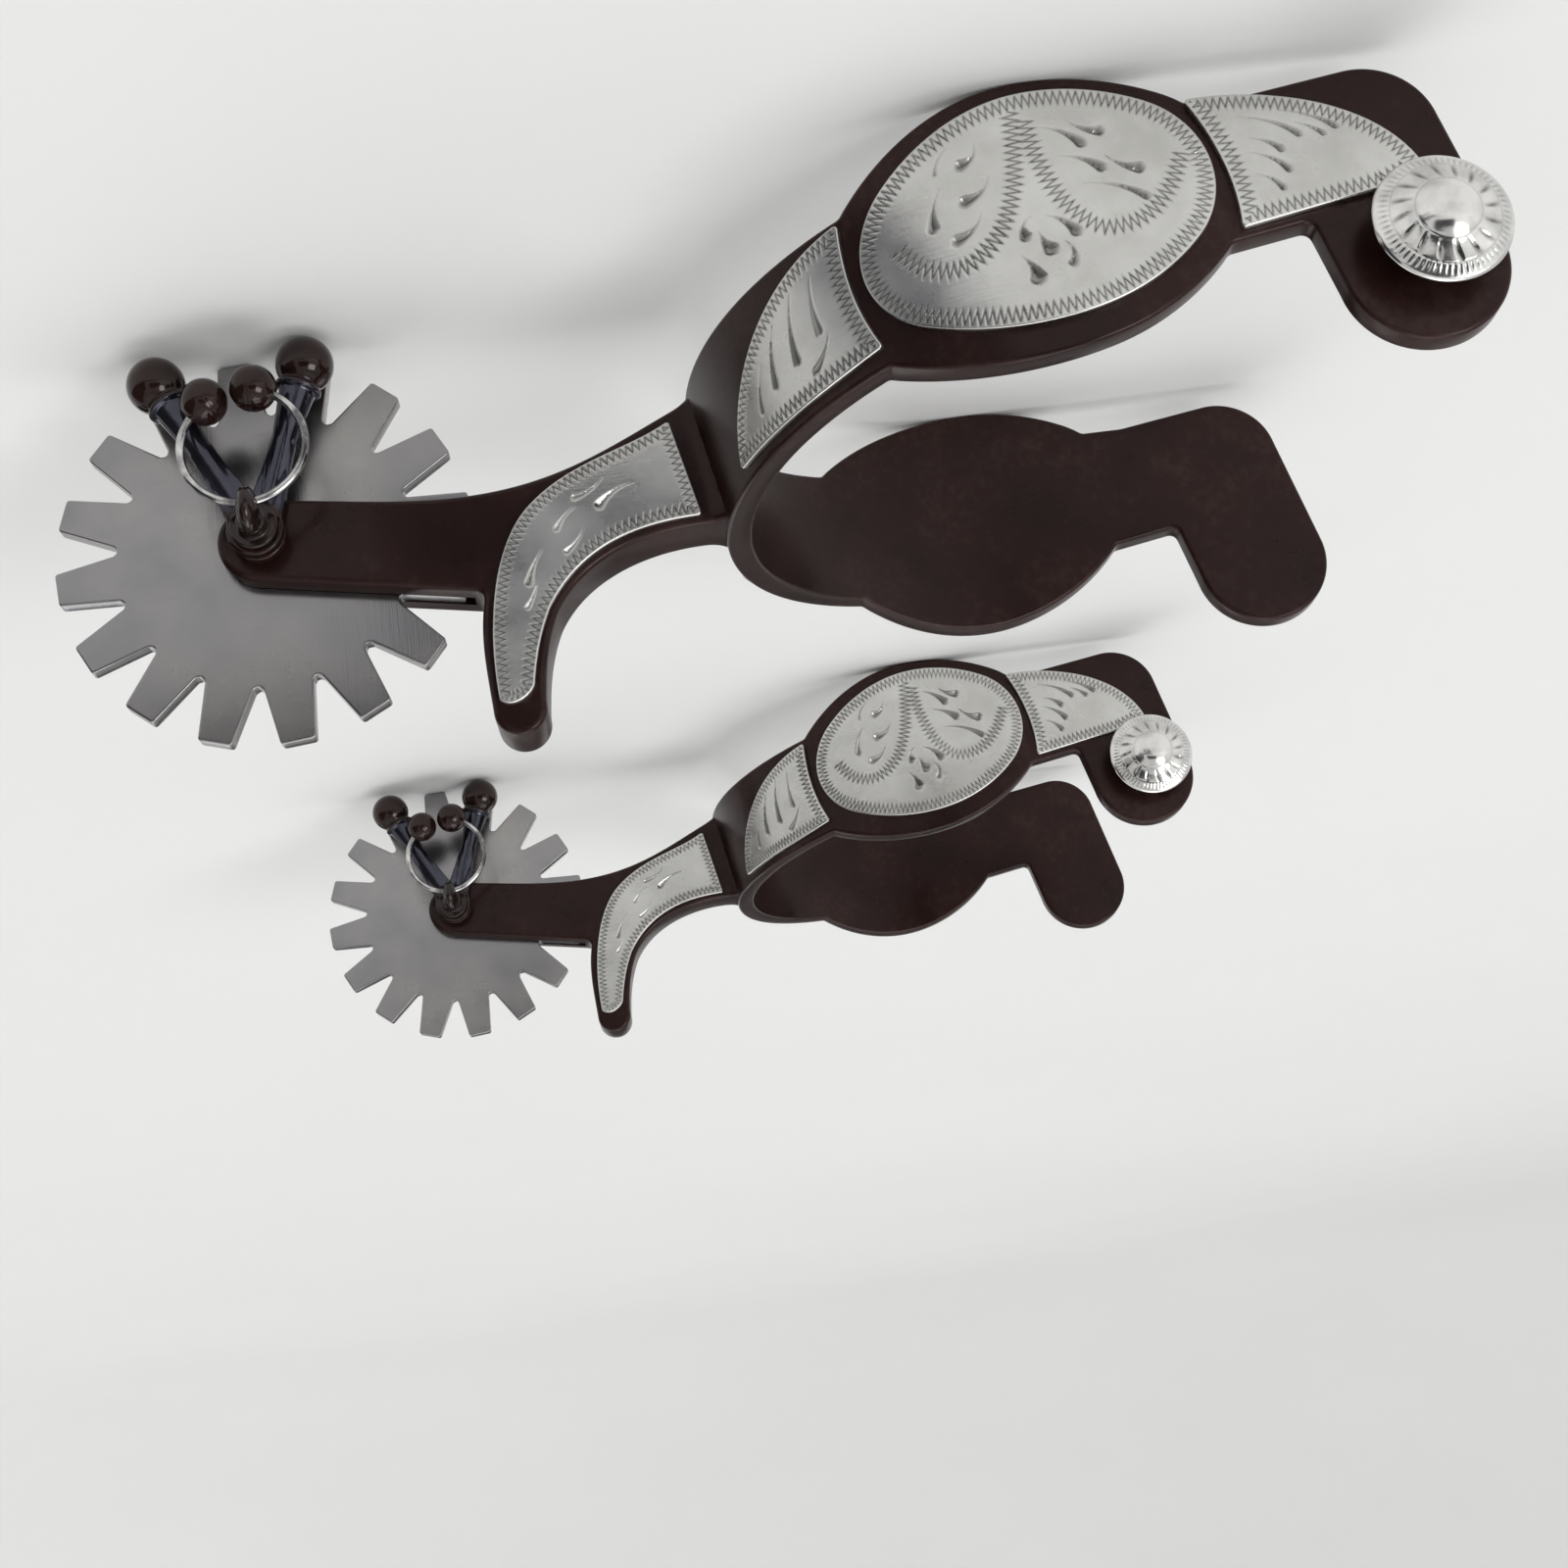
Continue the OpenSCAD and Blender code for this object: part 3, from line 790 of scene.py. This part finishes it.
# Each overlay has its outline, its wriggled bands as (path, reach each way), and its free cuts as
# (fine end, wedge end, bend, width). The oval's are given from its middle.
OX, OZ = 92.9, 5.3


def from_middle(*points):
    """Points given from the oval's middle, in the spur's frame."""
    return [(OX + x, OZ + z) for x, z in points]


def oval_cut(fine, wedge, bend, wide):
    """A free cut given from the oval's middle."""
    return (*from_middle(fine, wedge), bend, wide)


WING = dict(
    outline=oval(OX, OZ, 19.3, 13.7),
    bands=[(smooth_path(from_middle((0.6, -12.6), (-0.6, -7.5), (-2.2, -2.6), (-5.2, 1.9),
                                    (-9.4, 4.2), (-13.2, 2.6), (-15.4, -1.2))), 0.82),
           (smooth_path(from_middle((1.4, -10.2), (1.3, -5.0), (2.3, 0.6), (5.2, 4.6),
                                    (9.6, 5.0), (13.6, 2.4), (16.6, -1.4))), 0.82)],
    cuts=[
        # rear zone
        oval_cut((-4.4, -9.3), (-6.4, -7.4), -0.45, 0.62),
        oval_cut((-7.2, -10.0), (-9.2, -7.6), 0.22, 0.22),
        oval_cut((-4.2, -4.9), (-7.3, -3.1), -0.35, 0.66),
        oval_cut((-9.3, -5.6), (-11.3, -1.6), 0.16, 0.60),
        oval_cut((-6.2, -1.2), (-9.4, 0.9), -0.32, 0.64),
        # front zone
        oval_cut((3.0, -8.8), (6.4, -5.7), -0.16, 0.62),
        oval_cut((5.9, -8.9), (8.8, -6.5), 0.20, 0.60),
        oval_cut((3.8, -4.8), (7.5, -2.2), -0.16, 0.60),
        oval_cut((8.4, -3.6), (11.4, -0.9), 0.18, 0.66),
        oval_cut((5.0, -0.9), (11.0, 2.6), -0.17, 0.46),
        # lower flower
        oval_cut((-1.6, 1.3), (-2.9, 3.3), 0.45, 0.62),
        oval_cut((-0.2, 1.6), (2.3, 4.4), -0.20, 0.66),
        oval_cut((-1.4, 3.2), (-0.9, 5.6), 0.12, 0.80),
        oval_cut((0.9, 5.2), (0.9, 7.8), -0.35, 0.56),
        oval_cut((-4.0, 5.4), (-3.2, 8.3), -0.18, 0.84)],
)
REAR_LEAF = dict(
    outline=joined(curve([(73, -2.6), (67.5, -2.2), (58.5, 1), (57.2, 13.9)]),
                   curve([(57.2, 13.9), (63, 14.2), (68, 14.1), (73.2, 13.3)]),
                   curve([(73.2, 13.3), (71.8, 8), (71.9, 3), (73, -2.6)])),
    bands=[],
    cuts=[((68.9, 1.2), (68.1, 7.6), 0.10, 0.44),
          ((66.6, 1.6), (65.2, 9.0), 0.12, 0.50),
          ((64.2, 3.0), (62.6, 9.6), 0.12, 0.46),
          ((68.8, 8.6), (66.6, 11.4), -0.16, 0.44),
          ((61.9, 6.0), (60.7, 10.9), 0.10, 0.34)],
)
FRONT_LEAF = dict(
    outline=joined(curve([(111.8, -2.3), (120.5, -1.6), (132.5, 3.5), (134.2, 13.2)]),
                   [(129, 14.3), (112.5, 14.5)],
                   curve([(112.5, 14.5), (114, 9.5), (113.6, 3), (111.8, -2.3)])),
    bands=[],
    cuts=[((117.0, 1.6), (122.4, 5.4), -0.16, 0.40),
          ((117.2, 4.4), (119.9, 6.6), -0.16, 0.44),
          ((121.4, 2.0), (126.6, 5.6), -0.14, 0.40),
          ((122.6, 3.9), (125.0, 6.1), -0.10, 0.34),
          ((116.4, 6.0), (119.8, 9.2), -0.18, 0.44),
          ((116.2, 8.8), (118.4, 11.2), -0.20, 0.38)],
)
GUARD = dict(
    outline=joined(curve([(51.4, -0.4), (45.5, 2), (38, 1.2), (31.5, 5.9)]),
                   curve([(31.5, 5.9), (26, 10), (22.9, 20), (22.2, 28.6)]),
                   curve([(22.2, 28.6), (23, 30), (25.5, 29.6), (26.6, 28)]),
                   curve([(26.6, 28), (27.4, 25.6), (28.6, 22.4), (31, 19)]),
                   curve([(31, 19), (37.4, 11.5), (46, 11.9), (51.8, 12.8)])),
    bands=[],
    cuts=[((41.6, 4.6), (37.6, 6.2), -0.20, 0.34),
          ((45.0, 6.4), (40.2, 8.0), 0.18, 0.56),
          ((37.4, 7.4), (34.4, 9.6), 0.14, 0.32),
          ((37.6, 10.4), (34.8, 12.8), -0.16, 0.36),
          ((32.2, 11.6), (29.4, 15.4), 0.12, 0.46),
          ((30.4, 15.4), (28.4, 18.4), -0.12, 0.30)],
)


# ---- rowel ----------------------------------------------------------------------------------

def polar(r, a):
    """A point at radius r and angle a in degrees."""
    return (r * math.cos(math.radians(a)), r * math.sin(math.radians(a)))


def rowel():
    """A flat wheel of square-ended points with narrow valleys between them."""
    pitch, first_point, half_point, half_valley = 360 / ROWEL_POINTS, -40.6, 4.7, 1.9
    valley_r, valley_low = 18.29, 17.79
    points = []
    for i in range(ROWEL_POINTS):
        a = first_point + i * pitch
        v = a + pitch / 2
        points += [polar(ROWEL_R, a - half_point), polar(ROWEL_R, a + half_point),
                   polar(valley_r, v - half_valley), polar(valley_low, v), polar(valley_r, v + half_valley)]
    teeth = refine(joined(points), 0.5, 0.42)
    hole = arc(0, 0, PIN_R + 0.05, 360, 0, 60)[:-1]
    edge = rounded(0.17, ROWEL_T, 3)
    return plate([teeth, hole], edge, lambda p, d: np.c_[p[:, 0], ROWEL_T / 2 - d, p[:, 1]], 1.6)


# ---- pin, bobs, ring ------------------------------------------------------------------------

def blend(a, b, k):
    """The union of two distances with a fillet of about k."""
    h = np.clip(0.5 + 0.5 * (b - a) / k, 0, 1)
    return b + (a - b) * h - k * h * (1 - h)


def carve(a, b, k):
    """The distance a less b, with a softened edge."""
    return -blend(-a, b, k)


def rod(x, y, z, r, y0, y1, soft=0.0):
    """A round rod along Y with softened ends."""
    d1 = np.hypot(x, z) - (r - soft)
    d2 = np.abs(y - (y0 + y1) / 2) - ((y1 - y0) / 2 - soft)
    return np.minimum(np.maximum(d1, d2), 0) + np.hypot(np.maximum(d1, 0), np.maximum(d2, 0)) - soft


COLLAR_Y, EYE_Y, EYE_HOLE_Z = 7.05, 10.4, -1.8


def tilted(v):
    """From the standing direction back to the spur's own frame, about the pin."""
    c, s = math.cos(-TILT), math.sin(-TILT)
    return np.c_[v[:, 0] * c + v[:, 2] * s, v[:, 1], -v[:, 0] * s + v[:, 2] * c]


def rowel_pin():
    """The pin, its collar, and the flattened knob whose cross hole holds the ring."""
    def distance(x, y, z):
        """The signed distance to the pin, about."""
        shaft = rod(x, y, z, PIN_R, -5.05, COLLAR_Y + 0.2, 0.2)
        collar = rod(x, y, z, 2.9, COLLAR_Y, COLLAR_Y + 0.8, 0.25)
        neck = rod(x, y, z, 1.75, COLLAR_Y, EYE_Y - 1, 0.2)
        knob = (np.sqrt((x / 1.32) ** 2 + ((y - EYE_Y + 0.2) / 2.9) ** 2 + ((z + 0.9) / 2.9) ** 2) - 1) * 1.5
        d = blend(blend(np.minimum(shaft, collar), neck, 0.3), knob, 0.5)
        return carve(d, np.hypot(y - EYE_Y, z - EYE_HOLE_Z) - 0.85, 0.25)
    v, faces, marks = solid(distance, (-3.1, -5.3, -4), (3.1, 13.4, 3.1), 0.16)
    return tilted(v), faces, marks


BOB_EYE_R, BOB_EYE_T, BOB_REACH, BOB_BALL_R = 3.4, 1.5, 23, 3.55


def rounded_slab(in_plane, across_plane, soft):
    """A slab from its distance in plane and across it, with softened edges."""
    outside = np.hypot(np.maximum(in_plane, 0), np.maximum(across_plane, 0))
    return np.minimum(np.maximum(in_plane, across_plane), 0) + outside - soft


def bob(y0, angle):
    """A pear-ended bob: flat eye and neck, a stem that thickens to a lip, and a ball. It hangs at angle."""
    middle, soft, stem_out = y0 + BOB_EYE_T / 2, 0.2, 0.5
    lip_x = BOB_REACH - 3.3

    def distance(x, y, z):
        """The signed distance to the bob, about, along +X."""
        flat = np.abs(y - middle) - BOB_EYE_T / 2 + soft
        eye = rounded_slab(np.hypot(x, z) - BOB_EYE_R + soft, flat, soft)
        width = 2.5 - 1.15 * np.clip(x / 12, 0, 1)
        neck = rounded_slab(np.maximum(np.abs(z) - width + soft, np.maximum(-x, x - 12)), flat, soft)
        q = np.hypot(y - middle - stem_out, z)
        share = np.clip((x - 9) / 11.8, -0.4, 1)
        stem = np.maximum((q - (1.0 + 1.4 * share)) * 0.97, np.abs(x - 12.4) - 8.1)
        lip = np.hypot(np.maximum(q - 2.45, 0), x - lip_x) - 0.4
        ball = np.sqrt((x - BOB_REACH) ** 2 + q ** 2) - BOB_BALL_R
        d = blend(eye, neck, 0.5)
        d = blend(d, stem, 0.9)
        d = blend(d, lip, 0.25)
        d = blend(d, ball, 0.35)
        return carve(d, np.hypot(x, z) - PIN_R - 0.05, 0.12)

    v, faces, _ = solid(distance, (-3.6, y0 - 3.2, -3.7), (26.8, y0 + 4.9, 3.7), 0.19)
    brown = np.clip((v[:, 0] - 19.3) / 0.5, 0, 1) + np.clip((4.6 - v[:, 0]) / 1.5, 0, 1)
    c, s = math.cos(math.radians(angle)), math.sin(math.radians(angle))
    turned = np.c_[v[:, 0] * c - v[:, 2] * s, v[:, 1], v[:, 0] * s + v[:, 2] * c]
    return turned, faces, {"shade": np.clip(brown, 0, 1)}


RING_R, WIRE_R, RING_TURN, BALL_SEAT, BALL_R = 7.4, 0.5, math.radians(-10), 7.6, 2.85
BALL_HALF = math.asin((BALL_R + 0.15) / BALL_SEAT)


def in_eye(v):
    """From the ring's own frame, hanging straight down from its middle, to the spur's frame."""
    c, s = math.cos(-RING_TURN), math.sin(-RING_TURN)
    v = np.c_[v[:, 0] * c + v[:, 2] * s, v[:, 1], -v[:, 0] * s + v[:, 2] * c]
    return tilted(v + [0, EYE_Y, EYE_HOLE_Z - RING_R])


def jingle_ring():
    """A ring of wire, open at the bottom, whose tapered ends sit inside the balls."""
    gap = BALL_HALF - math.radians(10)
    around = np.linspace(gap, 2 * math.pi - gap, 161)
    about = np.linspace(0, 2 * math.pi, 18, endpoint=False)
    ends = np.clip(np.minimum(around - gap, around[::-1] - gap) / 0.02, 0, 1)
    v = []
    for a, e in zip(around, ends):
        out = np.array([-math.sin(a), 0, -math.cos(a)])
        r = WIRE_R * (0.55 + 0.45 * e)
        v += [out * (RING_R + r * math.cos(b)) + np.array([0, r * math.sin(b), 0]) for b in about]
    n = len(about)
    v = np.vstack([v, np.mean(v[:n], 0), np.mean(v[-n:], 0)])
    return in_eye(v), [*tube_faces(len(around), n)], {"shade": np.zeros(len(v))}


def ring_ball(side):
    """A ball drilled along the wire, with a fine turned groove at its middle. side is 1 or -1."""
    t = np.radians(np.linspace(-78, 78, 61))
    r = BALL_R - 0.05 * np.exp(-(t / 0.035) ** 2)
    drilled, floor = WIRE_R + 0.02, BALL_R - 0.35
    profile = [(0, -floor), (drilled, -floor)] + list(zip(r * np.cos(t), r * np.sin(t)))
    profile += [(drilled, floor), (0, floor)]
    v, faces, _ = lathe(profile, 72)
    v = np.c_[v[:, 2], v[:, 0], v[:, 1] - BALL_SEAT]
    c, s = math.cos(-side * BALL_HALF), math.sin(-side * BALL_HALF)
    v = np.c_[v[:, 0] * c + v[:, 2] * s, v[:, 1], -v[:, 0] * s + v[:, 2] * c]
    return in_eye(v), faces, {"shade": np.ones(len(v))}


def pin_washer():
    """A domed washer under the pin's peened end, against the shank's far face."""
    bore = PIN_R + 0.02
    profile = round_corners([(bore, 0), (3.5, 0), (3.5, 0.35), (2.9, 0.95), (bore, 1.25), (bore, 0)], 0.25)
    p = np.array(profile[1:-1])
    n = 80
    a = np.linspace(0, 2 * math.pi, n, endpoint=False)
    x, z = np.outer(p[:, 0], np.cos(a)), np.outer(p[:, 0], np.sin(a))
    v = np.c_[x.ravel(), np.repeat(-SHANK_HALF - p[:, 1], n), z.ravel()]
    i, j = np.arange(n), (np.arange(n) + 1) % n
    m = len(p)
    quads = [np.c_[k * n + i, k * n + j, (k + 1) % m * n + j, (k + 1) % m * n + i] for k in range(m)]
    return v, [np.vstack(quads)], {}


# ---- button ---------------------------------------------------------------------------------

BUTTON_X, BUTTON_Z, BUTTON_R, BUTTON_Y = 131.8, 21.3, 7.6, 45.2
POST_R, LEAF_DEPTH = 2.6, 0.16


def button():
    """A domed head: plain rim, a ring of leaf cuts round a polished crown."""
    n = 360
    r = np.r_[np.linspace(7.42, 4.6, 26), np.linspace(4.5, 0.12, 34)]
    share = r / BUTTON_R
    height = 0.7 + 2.15 * (1 - share ** 2) + 0.95 * np.exp(-(r / 3.3) ** 4)
    rim = [(2.7, 0), (6.9, 0), (7.3, 0.05), (7.52, 0.18), (BUTTON_R, 0.38), (7.54, 0.62)]
    profile = [(0, 0.9), (2.62, 0.9), (2.65, 0.1)] + rim + list(zip(r, height)) + [(0, height[-1])]
    v, faces, _ = lathe(profile, n)
    radius, angle = np.hypot(v[:, 0], v[:, 1]), np.arctan2(v[:, 1], v[:, 0])
    top = v[:, 2] > 0.64
    turn = angle / (2 * math.pi)
    leaf = np.abs((turn * 16 + 0.13 * (radius - 4)) % 1 - 0.5) * 2
    ring = np.clip(1 - np.abs(radius - 4.9) / 1.15, 0, 1)
    cut = LEAF_DEPTH * ring ** 0.6 * np.clip(1 - leaf / 0.42, 0, 1)
    fine = np.abs((turn * 64) % 1 - 0.5) * 2
    edge_ring = np.clip(1 - np.abs(radius - 6.55) / 0.6, 0, 1)
    cut = np.maximum(cut, 0.09 * edge_ring ** 0.6 * np.clip(1 - fine / 0.55, 0, 1))
    cut = np.maximum(cut, 0.06 * np.clip(1 - np.abs(radius - 3.55) / 0.14, 0, 1))
    cut = np.maximum(cut, 0.05 * np.clip(1 - np.abs(radius - 5.95) / 0.12, 0, 1))
    cut = np.where(top, cut, 0)
    v[:, 2] -= cut
    # The leaf cuts' shade darkens their colour: painted shade, and the silver there also a little tarnished.
    return (np.c_[BUTTON_X + v[:, 0], BUTTON_Y + v[:, 2], BUTTON_Z + v[:, 1]], faces,
            {"shade": np.clip(cut / LEAF_DEPTH, 0, 1)})


def button_post():
    """The post between tab and button, let into both, with a small fillet where it leaves the tab."""
    profile = [(0, -2), (POST_R, -2), (POST_R, -0.02), (POST_R + 0.25, 0.02), (POST_R + 0.02, 0.35),
               (POST_R, 1.2), (POST_R, 4.55), (0, 4.55)]
    v, faces, marks = lathe(round_corners(profile, 0.12, 3), 72)
    return np.c_[BUTTON_X + v[:, 0], BAND_R + v[:, 2], BUTTON_Z + v[:, 1]], faces, marks


# ---- build ----------------------------------------------------------------------------------

add("heel_band", heel_band(), BROWN)
add("shank", shank(), BROWN)
for piece, spec, place, unroll, seed, border in (
        ("wing_plate", WING, arm_place, True, 3, (1.15, 0.78)),
        ("rear_leaf", REAR_LEAF, arm_place, True, 5, (1.05, 0.7)),
        ("front_leaf", FRONT_LEAF, arm_place, True, 7, (1.05, 0.7)),
        ("guard_plate", GUARD, guard_place, False, 9, (0.9, 0.6))):
    shape = overlay(spec["outline"], spec["cuts"], spec["bands"], place, unroll, seed, border)
    add(piece + "_l", shape, SILVER, sharp=42)
    add(piece + "_r", mirrored(shape), SILVER, sharp=42)
head, post = button(), button_post()
add("button_l", head, BUTTON, sharp=40)
add("button_r", mirrored(head), BUTTON, sharp=40)
add("button_post_l", post, PIN_BROWN, sharp=50)
add("button_post_r", mirrored(post), PIN_BROWN, sharp=50)
add("rowel", rowel(), ROWEL, "rowel_body")
add("rowel_pin", rowel_pin(), PIN_BROWN)
add("pin_washer", pin_washer(), PIN_BROWN)
add("jingle_ring", jingle_ring(), WIRE, "ring_body")
add("ring_ball_a", ring_ball(1), JINGLE, "ring_body", sharp=60)
add("ring_ball_b", ring_ball(-1), JINGLE, "ring_body", sharp=60)
add("bob_a", bob(5.45, -108), JINGLE, "bob_a_body")
add("bob_b", bob(3.85, -62.3), JINGLE, "bob_b_body")


# ---- studio ---------------------------------------------------------------------------------

def backdrop():
    """A pale floor that sweeps up into a wall all round, so that no horizon shows."""
    g = Graph("paper")
    tone = g.noise(g.coords, 3, 3)
    color = g.mix(g.ramp(tone, 0.3, 0.7), rgb(0.755, 0.755, 0.75), rgb(0.775, 0.775, 0.77))
    paper = g.surface(Base_Color=color, Roughness=0.9, Specular_IOR_Level=0.15)
    inner_r, floor_r, bend, wall, n = 0.4, 1.6, 1.0, 3.4, 96
    t = np.radians(np.arange(5, 91, 5))
    r = np.r_[inner_r, floor_r, floor_r + bend * np.sin(t), floor_r + bend]
    z = np.r_[0, 0, bend * (1 - np.cos(t)), wall]
    a = np.linspace(0, 2 * math.pi, n, endpoint=False)
    v = np.c_[np.outer(r, np.cos(a)).ravel(), np.outer(r, np.sin(a)).ravel(), np.repeat(z, n)]
    quads, fans = tube_faces(len(r), n)
    me = bpy.data.meshes.new("backdrop")
    me.from_pydata([*v.tolist(), (0, 0, 0)], [], quads.tolist() + fans[:n].tolist())
    me.polygons.foreach_set("use_smooth", np.ones(len(me.polygons), bool))
    me.materials.append(paper)
    linked("backdrop", me)


def softbox(name, at, aim, size, power):
    """A rectangular area light that faces aim."""
    light = bpy.data.lights.new(name, "AREA")
    light.shape, light.size, light.size_y = "RECTANGLE", size[0], size[1]
    light.energy = power
    back = np.array(at, float) - np.array(aim, float)
    back /= np.linalg.norm(back)
    side = np.cross([0, 0, 1], back)
    side /= np.linalg.norm(side)
    up = np.cross(back, side)
    rows = [[side[i], up[i], back[i], at[i]] for i in range(3)]
    linked(name, light).matrix_world = Matrix(rows + [[0, 0, 0, 1]])


def dark_card(name, corner, along, up, grey=0.02):
    """A dark card that only reflections see; it shapes the tones in the metal."""
    g = Graph(name)
    low, high = rgb(0.6 * grey, 0.6 * grey, 0.7 * grey), rgb(1.5 * grey, 1.5 * grey, 1.7 * grey)
    tone = g.mix(g.noise(g.coords, 4, 2), low, high)
    a, u, c = (np.array(q, float) for q in (along, up, corner))
    me = bpy.data.meshes.new(name)
    me.from_pydata([list(c), list(c + a), list(c + a + u), list(c + u)], [], [(0, 1, 2, 3)])
    me.materials.append(g.surface(Base_Color=tone, Roughness=0.8))
    ob = linked(name, me)
    ob.visible_camera = ob.visible_shadow = ob.visible_diffuse = False


def photo_camera(at, right, down, lens):
    """The camera at the photo's viewing angle, from its place and its picture's right and down directions."""
    camera = linked("camera", bpy.data.cameras.new("camera"))
    camera.data.sensor_width, camera.data.lens = 36, lens
    camera.data.clip_start, camera.data.clip_end = 0.01, 50
    right = np.array(right) / np.linalg.norm(right)
    forward = np.cross(right, down)
    forward /= np.linalg.norm(forward)
    down = np.cross(forward, right)
    rows = [[right[i], -down[i], -forward[i], at[i]] for i in range(3)]
    camera.matrix_world = Matrix(rows + [[0, 0, 0, 1]])
    bpy.context.scene.camera = camera


backdrop()
dark_card("card_left", (-0.36, 0.62, 0.0), (0, -0.62, 0), (-0.05, 0, 0.34))
dark_card("card_front", (-0.25, 0.75, 0.16), (0.55, 0.05, 0), (0, 0.05, 0.30))
dark_card("card_back", (0.35, -0.75, 0.12), (-0.7, 0, 0), (0, -0.1, 0.30))
dark_card("card_low", (-0.34, 0.195, 0.006), (0.32, 0, 0), (0, 0.34, 0.03))
dark_card("card_near", (-0.050, 0.13, 0.003), (0.055, 0, 0), (0, 0.12, 0), 0.16)
softbox("top", (0.2, -0.2, 2.2), (0, 0, 0), (1.7, 1.4), 15)
softbox("front", (1.4, 1.7, 1.4), (0.05, 0.1, 0), (1.2, 0.9), 19)
softbox("rear", (-1.2, -1.8, 1.3), (0, 0, 0), (1.2, 0.9), 5)
world = bpy.data.worlds.new("studio")
world.use_nodes = True
sky = world.node_tree.nodes["Background"].inputs
sky["Color"].default_value, sky["Strength"].default_value = (1, 1, 1, 1), 0.78
bpy.context.scene.world = world
photo_camera((-0.0140, 0.3384, 0.1407), (0.98967, 0.01216, 0.14286), (-0.13264, -0.30062, 0.94447), 50.53)
bpy.context.scene.view_settings.view_transform = "Standard"
